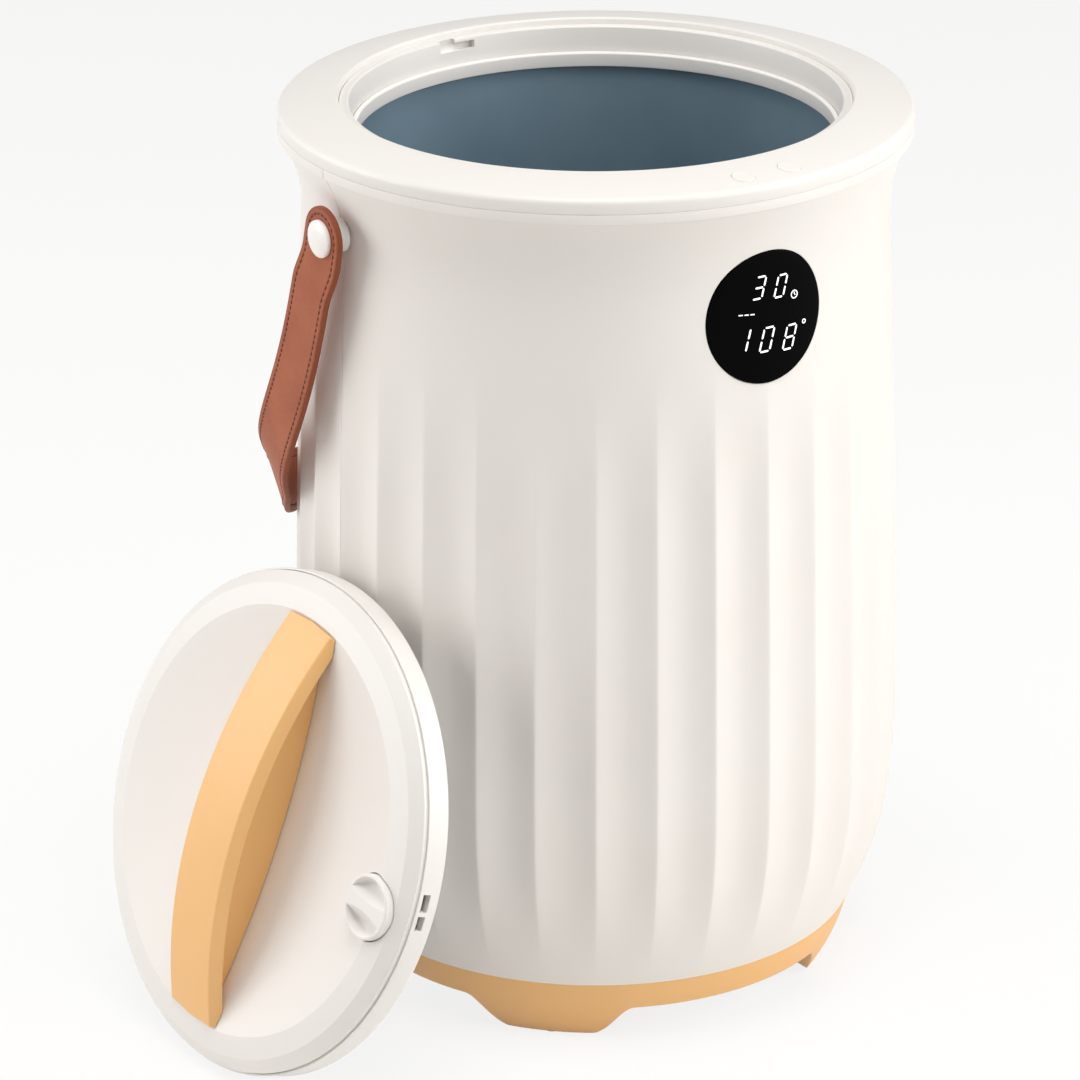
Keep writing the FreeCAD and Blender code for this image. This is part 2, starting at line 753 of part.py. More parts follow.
# Fluted shells, holed for the display and the strap rivets

rivet_places = [radial_place(azimuth, 0, mm("hinge_height")) for azimuth in (-90, 90)]


def rivet_bores(name):
    """Holes for the rivets, half in each shell."""
    return [rod(f"{name}_{at}", "rivet_radius + running_gap", "rim_radius + overrun", place)
            for at, place in enumerate(rivet_places)]


lens_place = radial_place(0, 0, mm("lens_height"))
lens_hole = rod("lens_hole", "lens_radius + close_gap", "rim_radius + overrun", lens_place)
front = shaped("front_shell_walls", shell_half(-90))
rear = shaped("rear_shell_walls", shell_half(90))
keep("front_shell", pierced("front_shell", front, [lens_hole] + rivet_bores("front_bore")))
keep("rear_shell", pierced("rear_shell", rear, rivet_bores("rear_bore")))

# Display lens, curved with the shell, and what stands behind it


def skin_band(outer_shift, inner_shift):
    """Turned band that follows the shell's own profile round the display."""
    low = mm("lens_height - lens_radius - overrun")
    high = mm("lens_height + lens_radius + overrun")
    heights = [low + (high - low) * step / 8 for step in range(9)]

    def profile(shift):
        curve = Part.BSplineCurve()
        curve.interpolate([Vector(ridge_radius(height) + shift, 0, height) for height in heights])
        return curve.toShape()

    sides = [profile(outer_shift), profile(inner_shift)]
    ends = [Part.makeLine(sides[0].valueAt(sides[0].LastParameter),
                          sides[1].valueAt(sides[1].LastParameter)),
            Part.makeLine(sides[1].valueAt(sides[1].FirstParameter),
                          sides[0].valueAt(sides[0].FirstParameter))]
    face = Part.Face(Part.Wire(Part.__sortEdges__(sides + ends)))
    face.rotate(Vector(), Vector(0, 0, 1), -120)
    return face.revolve(Vector(), Vector(0, 0, 1), 60)


lens_back = mm("lens_proud - lens_wall")
lens_disc = rod("lens_disc", "lens_radius", "rim_radius + overrun", lens_place)
lens = doc.addObject("Part::Common", "display_lens")
lens.Base = shaped("lens_skin", skin_band(mm("lens_proud"), lens_back))
lens.Tool = lens_disc
keep("display_lens", lens)
housing_seat = radial_place(0, mm("housing_back"), mm("lens_height"))
housing_tube = pierced("housing_tube",
                       rod("housing_outside", "lens_radius", "overrun + overrun + overrun",
                           housing_seat),
                       [rod("housing_inside", "lens_radius - housing_wall",
                            "overrun + overrun + overrun", housing_seat)])
housing = doc.addObject("Part::Common", "display_housing")
housing.Base = housing_tube
depth = lens_back - mm("close_gap")
housing.Tool = shaped("housing_skin", skin_band(depth, depth - 4 * mm("overrun")))
keep("display_housing", housing)
board_seat = radial_place(0, mm("housing_back - board_wall"), mm("lens_height"))
keep("display_board", rod("display_board", "lens_radius", "board_wall", board_seat))

# Base ring: rounded flank, four arches that leave four feet, pockets for the pads


def arch_tool():
    """Long prism under an arch, its shoulders curved like an S."""
    top, foot = mm("arch_top_half_width"), mm("arch_foot_half_width")
    high, low, bend = mm("arch_height"), -mm("overrun"), mm("arch_bend")

    def shoulder(side):
        curve = Part.BezierCurve()
        curve.setPoles([Vector(side * foot, 0, 0), Vector(side * (foot - bend), 0, 0),
                        Vector(side * (top + bend), 0, high), Vector(side * top, 0, high)])
        return curve.toShape()

    corners = [Vector(-foot, 0, 0), Vector(-foot, 0, low), Vector(foot, 0, low),
               Vector(foot, 0, 0)]
    lines = [Part.makeLine(start, end) for start, end in zip(corners, corners[1:])]
    roof = Part.makeLine(Vector(top, 0, high), Vector(-top, 0, high))
    wire = Part.Wire(Part.__sortEdges__(lines + [shoulder(1), roof, shoulder(-1)]))
    reach = mm("rim_radius")
    wire.translate(Vector(0, -reach, 0))
    return Part.Face(wire).extrude(Vector(0, 2 * reach, 0))


base = turned("base_ring_body", [
    ("shell_foot_radius", "base_height"),
    ("foot_radius", "sole_height", "base_flank_radius", -1),
    ("foot_inner_radius", "sole_height"),
    ("foot_inner_radius", "foot_shelf_height"),
    ("base_inner_radius", "base_shelf_height"),
    ("base_inner_radius", "base_height"),
])
foot_azimuths = [45 + 90 * step for step in range(4)]
arches = [shaped("arch_front", arch_tool()), shaped("arch_side", arch_tool())]
arches[1].Placement = Placement(Vector(), Rotation(Vector(0, 0, 1), 90))
pad_pockets = [rod(f"pad_pocket_{at}", "pad_radius + running_gap", "pad_height",
                   azimuth_place(azimuth, mm("pad_circle_radius"), 0))
               for at, azimuth in enumerate(foot_azimuths)]
gland_place = radial_place(180, mm("base_inner_radius"), mm("gland_height"))
gland_hole = rod("gland_hole", "gland_radius + running_gap", "rim_radius - base_inner_radius",
                 gland_place)
keep("base_ring", pierced("base_ring", base, arches + pad_pockets + [gland_hole]))
pads = [rod(f"foot_pad_{at}", "pad_radius", "pad_height",
            azimuth_place(azimuth, mm("pad_circle_radius"), 0))
        for at, azimuth in enumerate(foot_azimuths)]
keep("foot_pads", grouped("foot_pads", pads))

# Cord gland at the back of the base ring: a bush with an outer flange


def flank_radius(height):
    """Outside radius of the base ring at a height."""
    start = Vector(mm("shell_foot_radius"), mm("base_height"), 0)
    end = Vector(mm("foot_radius"), mm("sole_height"), 0)
    bend = mm("base_flank_radius")
    centre = arc_centre(start, end, bend, -1)
    return centre.x + math.sqrt(bend ** 2 - (height - centre.y) ** 2)


gland_seat = flank_radius(mm("gland_height + gland_flange_radius"))
gland_bush = rod("gland_bush", "gland_radius", gland_seat - mm("base_inner_radius"), gland_place)
gland_flange = rod("gland_flange", "gland_flange_radius", "gland_flange_wall",
                   radial_place(180, gland_seat, mm("gland_height")))
gland_bore = rod("gland_bore", "gland_bore_radius", "rim_radius", gland_place)
keep("cord_gland", pierced("cord_gland", joined("gland_whole", [gland_bush, gland_flange]),
                           [gland_bore]))

# Chassis plate with posts up to the liner, standoffs for the board and studs for the cover

chassis_top = mm("base_height + chassis_wall")
plate = turned("chassis_plate", [
    ("", "base_height"),
    ("chassis_radius", "base_height"),
    ("chassis_radius", "base_height + chassis_wall"),
    ("", "base_height + chassis_wall"),
])
posts = [rod(f"chassis_post_{at}", "post_radius",
             "liner_floor_height - liner_wall - base_height - chassis_wall",
             azimuth_place(azimuth, mm("post_circle_radius"), chassis_top))
         for at, azimuth in enumerate(foot_azimuths)]
stud_azimuths = [90 * step for step in range(4)]
cover_top = mm("cover_foot_height + cover_wall")
stud_places = [azimuth_place(azimuth, mm("stud_circle_radius"), cover_top)
               for azimuth in stud_azimuths]
stud_length = "base_height + chassis_wall - cover_foot_height - cover_wall"
studs = [rod(f"chassis_stud_{at}", "stud_radius", stud_length, place)
         for at, place in enumerate(stud_places)]
board_corner = (mm("board_length") / 2 - mm("overrun"), mm("board_width") / 2 - mm("overrun"))
standoffs = [rod(f"standoff_{at}", "standoff_radius",
                 "board_foot_height - base_height - chassis_wall",
                 Placement(Vector(board_corner[0] * way[0], board_corner[1] * way[1], chassis_top),
                           Rotation()))
             for at, way in enumerate(((1, 1), (1, -1), (-1, 1), (-1, -1)))]
stud_bores = [rod(f"stud_bore_{at}", "screw_radius + running_gap", stud_length, place)
              for at, place in enumerate(stud_places)]
keep("chassis", pierced("chassis", joined("chassis_whole", [plate] + posts + studs + standoffs),
                        stud_bores))
cover = turned("bottom_cover_body", [
    ("", "cover_foot_height"),
    ("base_inner_radius - close_gap", "cover_foot_height"),
    ("base_inner_radius - close_gap", "cover_foot_height + cover_wall"),
    ("", "cover_foot_height + cover_wall"),
])
cover_bores = [rod(f"cover_bore_{at}", "screw_radius + close_gap", "cover_wall",
                   azimuth_place(azimuth, mm("stud_circle_radius"), mm("cover_foot_height")))
               for at, azimuth in enumerate(stud_azimuths)]
keep("bottom_cover", pierced("bottom_cover", cover, cover_bores))
cover_screws = [screw(f"cover_screw_{at}", stud_length,
                      azimuth_place(azimuth, mm("stud_circle_radius"), mm("cover_foot_height")))
                for at, azimuth in enumerate(stud_azimuths)]
keep("cover_screws", grouped("cover_screws", cover_screws))

# Electronics under the liner

board_top = mm("board_foot_height + board_wall")


relay_shares = (0.28, 0.2)
supply_shares = (-0.3, 0.14)
choke_shares = (-0.05, 0.12)


def on_board(place_shares):
    """Place on the top of the control board, as shares of its length and width."""
    return Placement(Vector(place_shares[0] * mm("board_length"),
                            place_shares[1] * mm("board_width"), board_top), Rotation())


control = [block("control_plate", "board_length", "board_width", "board_wall",
                 Placement(Vector(0, 0, mm("board_foot_height")), Rotation())),
           block("relay", "relay_length", "relay_width", "relay_height", on_board(relay_shares)),
           block("supply", "relay_width", "relay_length", "relay_height",
                 on_board(supply_shares)),
           rod("choke", "choke_radius", "choke_height", on_board(choke_shares))]
keep("control_board", joined("control_board", control))
liner_foot = mm("liner_floor_height - liner_wall")
keep("thermostat", rod("thermostat", "thermostat_radius", "thermostat_height",
                       Placement(Vector(0, 0, mm("thermostat_foot_height")), Rotation())))
fuse_place = Placement(Vector(-mm("fuse_length") / 2, mm("fuse_offset"),
                              liner_foot - mm("fuse_radius")), Rotation(Vector(0, 1, 0), 90))
keep("thermal_fuse", rod("thermal_fuse", "fuse_radius", "fuse_length", fuse_place))
cable_middle = mm("cable_radius + cable_plug_radius") / 2
cable_runs = [
    block("cable_drop", "cable_width", "cable_wall",
          "lens_height - lens_radius - close_gap - board_foot_height - board_wall",
          Placement(Vector(0, -mm("cable_radius"), board_top), Rotation())),
    block("cable_run", "cable_width", "cable_radius - cable_plug_radius", "cable_wall",
          Placement(Vector(0, -cable_middle, board_top), Rotation())),
]
keep("display_cable", joined("display_cable", cable_runs))

# Push buttons and the switch board below them


def button(name, azimuth):
    """Cap through the ring, a flange that keeps it in, and a plunger over its switch."""
    lean = math.radians(ring_slope)
    under = mm("ring_wall + close_gap")
    switch = switch_top + mm("switch_height")
    reach = (ring_top(mm("button_circle_radius")) - switch) / math.cos(lean)
    reach -= mm("button_travel + running_gap") + mm("plunger_radius") * math.tan(lean)
    cap = rod(name + "_cap", "button_radius", "ring_wall + close_gap + button_proud",
              Placement(Vector(0, 0, -under), Rotation()))
    flange = rod(name + "_flange", "button_flange_radius", "button_flange_wall",
                 Placement(Vector(0, 0, -under - mm("button_flange_wall")), Rotation()))
    plunger = rod(name + "_plunger", "plunger_radius", reach - under,
                  Placement(Vector(0, 0, -reach), Rotation()))
    return keep(name, joined(name, [cap, flange, plunger]), button_place(azimuth))


for word, azimuth in zip(("power_button", "timer_button"), button_azimuths):
    button(word, azimuth)


def sector(inner, outer, low, wall, spread):
    """Curved strip of a flat ring, half its angle on each side of the display."""
    whole = Part.makeCylinder(outer, wall, Vector(0, 0, low), Vector(0, 0, 1), 2 * spread)
    strip = whole.cut(Part.makeCylinder(inner, wall, Vector(0, 0, low)))
    strip.rotate(Vector(), Vector(0, 0, 1), -90 - spread)
    return strip


strip = shaped("switch_strip", sector(
    mm("switch_board_inner_radius"), mm("switch_board_outer_radius"), mm("switch_board_height"),
    mm("board_wall"), mm("switch_board_azimuth")))
switches = [block(f"switch_{at}", "switch_width", "switch_width", "switch_height",
                  azimuth_place(azimuth, mm("button_circle_radius"), switch_top))
            for at, azimuth in enumerate(button_azimuths)]
keep("button_board", joined("button_board", [strip] + switches))

# Strap: a band that leaves its rivets, clears the rim and hangs round the back


def strap_spot(way):
    """Centre line at a share of the way round: arc behind the rivet, radius and height."""
    arc = math.pi / 2 * mm("strap_back_radius")
    lean = math.radians(mm("strap_lean_angle"))
    reach = mm("strap_reach_share") * mm("strap_drop")
    curve = Part.BezierCurve()
    curve.setPoles([Vector(), Vector(reach * math.sin(lean), 0, -reach * math.cos(lean)),
                    Vector(mm("strap_sweep_share") * arc, 0, -mm("strap_drop")),
                    Vector(arc, 0, -mm("strap_drop"))])
    along = curve.value(way)
    leg = eased((-along.z - mm("strap_flat_drop")) / mm("strap_leg_drop - strap_flat_drop"))
    bend = eased((along.x - mm("strap_bend_arc")) / mm("strap_bent_arc - strap_bend_arc"))
    bow = eased((along.x - mm("strap_bent_arc")) / (arc - mm("strap_bent_arc")))
    flat = mm("strap_rivet_radius") + leg * mm("strap_leg_radius - strap_rivet_radius")
    flat /= math.cos(min(along.x, mm("strap_bent_arc")) / mm("strap_back_radius"))
    hug = mm("strap_hug_radius") + bow * mm("strap_back_radius - strap_hug_radius")
    radius = flat * (1 - bend) + hug * bend
    return along.x, radius, mm("hinge_height") + along.z


def strap_point(way, side):
    """Centre line in space and the way its face looks, from the rivet on one side (1 or -1)."""
    arc, radius, height = strap_spot(way)
    angle = arc / mm("strap_back_radius")
    spot = Vector(side * radius * math.cos(angle), radius * math.sin(angle), height)
    turn = eased((arc - mm("strap_twist_arc")) / mm("strap_turn_arc - strap_twist_arc"))
    return spot, Vector(spot.x, spot.y * turn, 0).normalize()


def strap_section(centre, along, side_way):
    """Rectangle across the strap: its wall along the side way, its width square to both."""
    face = (side_way - along * side_way.dot(along)).normalize()
    across = along.cross(face)
    wall, width = mm("strap_half_wall"), mm("strap_width") / 2
    corners = [centre + face * wall * a + across * width * b
               for a, b in ((1, 1), (-1, 1), (-1, -1), (1, -1))]
    return Part.makePolygon(corners + corners[:1])


def strap_end(spot, along):
    """Half-round end beyond a rivet, on the face that the loft starts from."""
    half, wall = mm("strap_width") / 2, mm("strap_half_wall + strap_half_wall")
    across = along.cross(Vector(1, 0, 0)) * half
    start = spot - Vector(wall / 2, 0, 0)
    arc = Part.Arc(start + across, start - along * half, start - across).toShape()
    wire = Part.Wire([arc, Part.makeLine(start - across, start + across)])
    return Part.Face(wire).extrude(Vector(wall, 0, 0))


def strap_shape():
    """Ruled loft along the whole strap, its sections closer together near the rivets, with a round
    end at each rivet."""
    steps = 30
    way_shares = [(step / steps) ** 1.4 for step in range(steps)]
    line = [strap_point(way, -1) for way in way_shares] + [strap_point(1, 1)]
    line += [strap_point(way, 1) for way in reversed(way_shares)]
    sections = []
    ends = []
    for at, (spot, outward) in enumerate(line):
        along = line[min(at + 1, len(line) - 1)][0] - line[max(at - 1, 0)][0]
        if at in (0, len(line) - 1):
            along = Vector(0, along.y, along.z).normalize()
            ends.append(strap_end(spot, along if at == 0 else -along))
        sections.append(strap_section(spot, along.normalize(), outward))
    return Part.makeLoft(sections, True, True).fuse(ends)


strap_bores = [rod(f"strap_bore_{at}", "rivet_radius + running_gap", "rim_radius + overrun", place)
               for at, place in enumerate(rivet_places)]
keep("carry_strap", pierced("carry_strap", shaped("strap_band", strap_shape()), strap_bores))


def at_rivets(name, radius, start, end, hole):
    """Washers on both rivet axes between two distances from the bucket's axis."""
    pieces = []
    for at, azimuth in enumerate((-90, 90)):
        plain = rod(f"{name}_{at}", radius, end - start,
                    radial_place(azimuth, start, mm("hinge_height")))
        bore = rod(f"{name}_bore_{at}", hole, "rim_radius + overrun", rivet_places[at])
        pieces.append(pierced(f"{name}_piece_{at}", plain, [bore]))
    return pieces


shell_outside = ridge_radius(mm("hinge_height + washer_radius"))
washers = at_rivets("strap_washer", "washer_radius", shell_outside,
                    mm("strap_rivet_radius - strap_half_wall - close_gap"),
                    "rivet_radius + running_gap")
keep("strap_washers", grouped("strap_washers", washers))
cap_seat = "strap_rivet_radius + strap_half_wall + running_gap"
rivets = []
for at, place in enumerate(rivet_places):
    rivet = turned(f"strap_rivet_{at}", [
        ("", "rivet_tail_radius"),
        ("rivet_radius", "rivet_tail_radius"),
        ("rivet_radius", cap_seat),
        ("rivet_cap_radius", cap_seat),
        ("rivet_cap_radius", cap_seat + " + rivet_cap_wall"),
        ("rivet_crown_radius", cap_seat + " + rivet_cap_wall + rivet_dome",
         "rivet_round_radius", 1),
        ("", cap_seat + " + rivet_cap_wall + rivet_dome"),
    ])
    rivet.Placement = place
    rivets.append(rivet)
keep("strap_rivets", grouped("strap_rivets", rivets))
nut_seat = mm("shell_neck_radius - shell_wall - close_gap")
nuts = at_rivets("strap_nut", "nut_radius", nut_seat - mm("nut_wall"), nut_seat,
                 "rivet_radius + running_gap")
keep("strap_nuts", grouped("strap_nuts", nuts))

# Lid: where it leans, with its flange on the floor and its plug against the bucket

tilt = math.radians(mm("lid_tilt_angle"))
lid_lift = mm("lid_radius") * math.cos(tilt) + mm("running_gap")
lid_lift -= mm("lid_plug_depth") * math.sin(tilt)
touch_height = lid_lift + mm("lid_plug_radius") * math.cos(tilt)
lid_reach = ridge_radius(touch_height) - mm("lid_touch_inset - close_gap")
lid_reach += mm("lid_plug_radius") * math.sin(tilt)
lid_stand = azimuth_place(mm("lid_azimuth"), lid_reach, lid_lift)
lid_lean = Placement(Vector(), Rotation(Vector(0, 1, 0), 90 - mm("lid_tilt_angle")))
lid_roll = Placement(Vector(), Rotation(Vector(0, 0, 1), 90 + mm("lid_roll_angle")))
lid_place = lid_stand.multiply(lid_lean).multiply(lid_roll)
plug_floor = mm("lid_plug_depth + lid_wall")


def dish_level(radius):
    """Height of the dished face at a radius."""
    bend = mm("dish_curve_radius")
    sag = math.sqrt(bend ** 2 - radius ** 2) - math.sqrt(bend ** 2 - mm("dish_radius") ** 2)
    return mm("dish_height") - sag


flange = turned("lid_base_body", [
    ("", "lid_plug_depth"),
    ("lid_plug_radius - lid_wall", "lid_plug_depth"),
    ("lid_plug_radius - lid_wall", ""),
    ("lid_plug_radius", ""),
    ("lid_plug_radius", "lid_plug_depth"),
    ("lid_radius", "lid_plug_depth"),
    ("lid_radius", "lid_flange_top"),
    ("lid_cover_radius - lid_wall", "lid_flange_top"),
    ("lid_cover_radius - lid_wall", "lid_plug_depth + lid_wall"),
    ("", "lid_plug_depth + lid_wall"),
])
lugs = [block(f"lid_lug_{at}", "lug_radius - lid_plug_radius + lid_wall", "lug_width",
              "lug_height",
              azimuth_place(180 * at, mm("lug_radius + lid_plug_radius - lid_wall") / 2,
                            mm("lug_foot")))
        for at in range(2)]
slot_pitch = mm("lid_slot_width + lid_slot_rib") / 2
slot_low = mm("lid_slot_top - lid_slot_height")
lid_slots = [block(f"lid_slot_{at}", "lid_slot_depth", "lid_slot_width", "lid_slot_height",
                   azimuth_place(mm("lid_slot_azimuth"), mm("lid_radius"), slot_low).multiply(
                       Placement(Vector(0, side * slot_pitch, 0), Rotation())))
             for at, side in enumerate((-1, 1))]
lid_screw_azimuths = [60 * step for step in range(6)]
lid_seats = [azimuth_place(azimuth, mm("lid_post_circle_radius"), mm("lid_plug_depth"))
             for azimuth in lid_screw_azimuths]
floor_bores = [rod(f"lid_floor_bore_{at}", "screw_radius + close_gap", "lid_wall", place)
               for at, place in enumerate(lid_seats)]
lid_base = joined("lid_base_whole", [flange] + lugs)
keep("lid_base", pierced("lid_base", lid_base, lid_slots + floor_bores), lid_place)

# Lid cover: band, chamfer, border and dish, with posts down to the lid's floor

cover_body = turned("lid_cover_body", [
    ("lid_cover_radius - lid_wall", "lid_flange_top"),
    ("lid_cover_radius", "lid_flange_top"),
    ("lid_cover_radius", "lid_band_top"),
    ("lid_border_radius", "lid_border_height"),
    ("dish_radius", "dish_height"),
    ("", "dish_height - dish_depth", "dish_curve_radius", -1),
    ("", "dish_height - dish_depth - lid_wall"),
    ("dish_radius", "dish_height - lid_wall", "dish_curve_radius + lid_wall", 1),
    ("lid_border_radius", "lid_border_height - lid_wall"),
    ("lid_cover_radius - lid_wall", "lid_band_top - close_gap"),
])
lid_post_places = [azimuth_place(azimuth, mm("lid_post_circle_radius"), plug_floor)
                   for azimuth in lid_screw_azimuths]
lid_posts = [rod(f"lid_post_{at}", "boss_radius",
                 "dish_height - lid_wall - lid_plug_depth - lid_wall", place)
             for at, place in enumerate(lid_post_places)]
lid_bores = [rod(f"lid_bore_{at}", "screw_radius + running_gap", "lid_screw_length", place)
             for at, place in enumerate(lid_post_places)]
knob_seat = Placement(Vector(mm("knob_circle_radius"), 0, 0), Rotation())
knob_hole = rod("knob_hole", "knob_radius + close_gap", "knob_top", knob_seat)
pitches = [-mm("handle_screw_pitch"), 0, mm("handle_screw_pitch")]


def handle_seat(pitch):
    """Where a handle screw's head bears on the underside of the dish."""
    nearest = max(abs(pitch) - mm("screw_head_radius"), 0)
    return Placement(Vector(0, pitch, dish_level(nearest) - mm("lid_wall")), Rotation())


handle_bores = [rod(f"handle_bore_{at}", "screw_radius + close_gap", "handle_screw_length",
                    handle_seat(pitch)) for at, pitch in enumerate(pitches)]
keep("lid_cover", pierced("lid_cover", joined("lid_cover_whole", [cover_body] + lid_posts),
                          lid_bores + handle_bores + [knob_hole]), lid_place)
lid_screws = [screw(f"lid_screw_{at}", "lid_screw_length", place)
              for at, place in enumerate(lid_seats)]
keep("lid_screws", grouped("lid_screws", lid_screws), lid_place)
keep("lid_seal", turned("lid_seal", [
    ("lid_plug_radius + close_gap", "lid_plug_depth - lid_seal_wall"),
    ("lid_seal_radius", "lid_plug_depth - lid_seal_wall"),
    ("lid_seal_radius", "lid_plug_depth"),
    ("lid_plug_radius + close_gap", "lid_plug_depth"),
]), lid_place)
keep("lid_reflector", turned("lid_reflector", [
    ("", "reflector_inset"),
    ("lid_plug_radius - lid_wall - close_gap", "reflector_inset"),
    ("lid_plug_radius - lid_wall - close_gap", "reflector_inset + reflector_wall"),
    ("", "reflector_inset + reflector_wall"),
]), lid_place)
keep("lid_foam", turned("lid_foam", [
    ("", "lid_plug_depth + lid_wall"),
    ("foam_radius", "lid_plug_depth + lid_wall"),
    ("foam_radius", "lid_plug_depth + lid_wall + foam_wall"),
    ("", "lid_plug_depth + lid_wall + foam_wall"),
]), lid_place)

# Handle: an arched cap with bevelled sides on a narrower web that stands in the dish


def handle_section(along):
    """Outline across the handle at a distance along it."""
    end, rise = mm("handle_end_radius"), mm("handle_crown_height - handle_end_height")
    bend = (end ** 2 + rise ** 2) / (2 * rise)
    top = mm("handle_crown_height") - bend + math.sqrt(bend ** 2 - along ** 2)
    low = top - mm("handle_bevel_drop")
    half, web = mm("handle_half_width"), mm("handle_web_half_width")
    side = half + mm("handle_bevel")
    right = [(half, top), (side, low), (web, low), (web, 0)]
    corners = right + [(-x, z) for x, z in reversed(right)]
    points = [Vector(x, along, z) for x, z in corners]
    return Part.makePolygon(points + points[:1])


def dish_filling():
    """Everything below the dished face."""
    gap = mm("running_gap")
    edge = Vector(mm("dish_radius"), 0, mm("dish_height") + gap)
    middle = Vector(mm("dish_radius") / 2, 0, dish_level(mm("dish_radius") / 2) + gap)
    centre = Vector(0, 0, dish_level(0) + gap)
    corners = [edge, Vector(mm("rim_radius"), 0, edge.z), Vector(mm("rim_radius"), 0, -gap),
               Vector(0, 0, -gap), centre]
    lines = [Part.makeLine(start, end) for start, end in zip(corners, corners[1:])]
    wire = Part.Wire([Part.Arc(centre, middle, edge).toShape()] + lines)
    return Part.Face(wire).revolve(Vector(), Vector(0, 0, 1), 360)


def handle_shape():
    """Loft along the arch, trimmed round at its ends and to the dish below."""
    reach = mm("handle_end_radius + handle_bevel")
    stations = [reach * (step / 8 - 1) for step in range(17)]
    bar = Part.makeLoft([handle_section(along) for along in stations], True)
    ends = Part.makeCylinder(mm("handle_end_radius"), mm("handle_crown_height + overrun"))
    return bar.common(ends).cut(dish_filling())


pilots = [rod(f"handle_pilot_{at}", "screw_radius + running_gap", "handle_screw_length",
              handle_seat(pitch)) for at, pitch in enumerate(pitches)]
keep("lid_handle", pierced("lid_handle", shaped("handle_bar", handle_shape()), pilots), lid_place)
handle_screws = [screw(f"handle_screw_{at}", "handle_screw_length", handle_seat(pitch))
                 for at, pitch in enumerate(pitches)]
keep("handle_screws", grouped("handle_screws", handle_screws), lid_place)

# Scent cup, its pad, and the knob that turns in it

knob_place = lid_place.multiply(knob_seat)
keep("scent_cup", turned("scent_cup", [
    ("", "lid_plug_depth + lid_wall"),
    ("knob_radius + running_gap + cup_wall", "lid_plug_depth + lid_wall"),
    ("knob_radius + running_gap + cup_wall", "cup_top"),
    ("knob_radius + running_gap", "cup_top"),
    ("knob_radius + running_gap", "knob_foot - running_gap"),
    ("knob_radius - cup_shoulder", "knob_foot - running_gap"),
    ("knob_radius - cup_shoulder", "lid_plug_depth + lid_wall + cup_floor_wall"),
    ("", "lid_plug_depth + lid_wall + cup_floor_wall"),
]), knob_place)
keep("scent_pad", turned("scent_pad", [
    ("", "lid_plug_depth + lid_wall + cup_floor_wall"),
    ("knob_radius - cup_shoulder - close_gap", "lid_plug_depth + lid_wall + cup_floor_wall"),
    ("knob_radius - cup_shoulder - close_gap",
     "lid_plug_depth + lid_wall + cup_floor_wall + scent_pad_wall"),
    ("", "lid_plug_depth + lid_wall + cup_floor_wall + scent_pad_wall"),
]), knob_place)
knob_body = turned("scent_knob_body", [
    ("knob_radius", "knob_foot"),
    ("knob_radius", "knob_top"),
    ("", "knob_top"),
    ("", "knob_top - knob_pocket_depth - knob_rim_wall"),
    ("knob_radius - knob_rim_wall", "knob_top - knob_pocket_depth - knob_rim_wall"),
    ("knob_radius - knob_rim_wall", "knob_foot"),
])
pocket_seat = Placement(Vector(0, 0, mm("knob_top - knob_pocket_depth")),
                        Rotation(Vector(0, 0, 1), mm("knob_bar_angle")))
pocket = rod("knob_pocket", "knob_radius - knob_rim_wall", "knob_pocket_depth + overrun",
             pocket_seat)
grip = block("knob_grip", "knob_radius + knob_radius",
             "knob_bar_half_width + knob_bar_half_width", "knob_pocket_depth + overrun",
             pocket_seat)
recesses = pierced("knob_recesses", pocket, [grip])
keep("scent_knob", pierced("scent_knob", knob_body, [recesses]), knob_place)

# Check every piece, then write it

doc.recompute()
for item in doc.Objects:
    if "Invalid" in item.State or "Error" in item.State:
        raise RuntimeError(f"{item.Label}: {item.State}")
os.makedirs("parts", exist_ok=True)
for label, piece in PIECES:
    if piece.Shape.isNull() or not piece.Shape.isValid() or piece.Shape.Volume <= 0:
        raise RuntimeError(f"{label} has no sound solid")
    print(label, len(piece.Shape.Solids), round(piece.Shape.Volume), piece.Shape.BoundBox)
    piece.Shape.exportStep(f"parts/{label}.step")
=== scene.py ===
"""Looks of a bucket towel warmer with its lid leaning on it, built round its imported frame.

Sizes are millimetres in the part's own frame: the floor is z = 0, the bucket's axis is Z and
its display looks towards -Y. Azimuth is counted from -Y towards +X. Lid sizes are measured
from the bottom of the lid's plug, along the lid's own axis. MM turns them into metres.
"""
import math
import bmesh
import bpy
import numpy as np
from mathutils import Matrix


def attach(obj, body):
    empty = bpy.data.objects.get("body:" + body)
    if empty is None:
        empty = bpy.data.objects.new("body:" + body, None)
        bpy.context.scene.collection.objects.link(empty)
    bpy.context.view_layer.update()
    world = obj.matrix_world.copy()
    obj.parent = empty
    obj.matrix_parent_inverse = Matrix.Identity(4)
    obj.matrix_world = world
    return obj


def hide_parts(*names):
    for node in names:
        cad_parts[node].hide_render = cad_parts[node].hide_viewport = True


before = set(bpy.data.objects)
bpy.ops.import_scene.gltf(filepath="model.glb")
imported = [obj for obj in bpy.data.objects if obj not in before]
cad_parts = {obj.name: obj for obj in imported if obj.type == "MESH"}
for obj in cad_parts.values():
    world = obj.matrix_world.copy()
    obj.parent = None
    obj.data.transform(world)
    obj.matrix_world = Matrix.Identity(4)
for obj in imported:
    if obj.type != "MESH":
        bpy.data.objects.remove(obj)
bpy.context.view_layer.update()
MM = 0.001

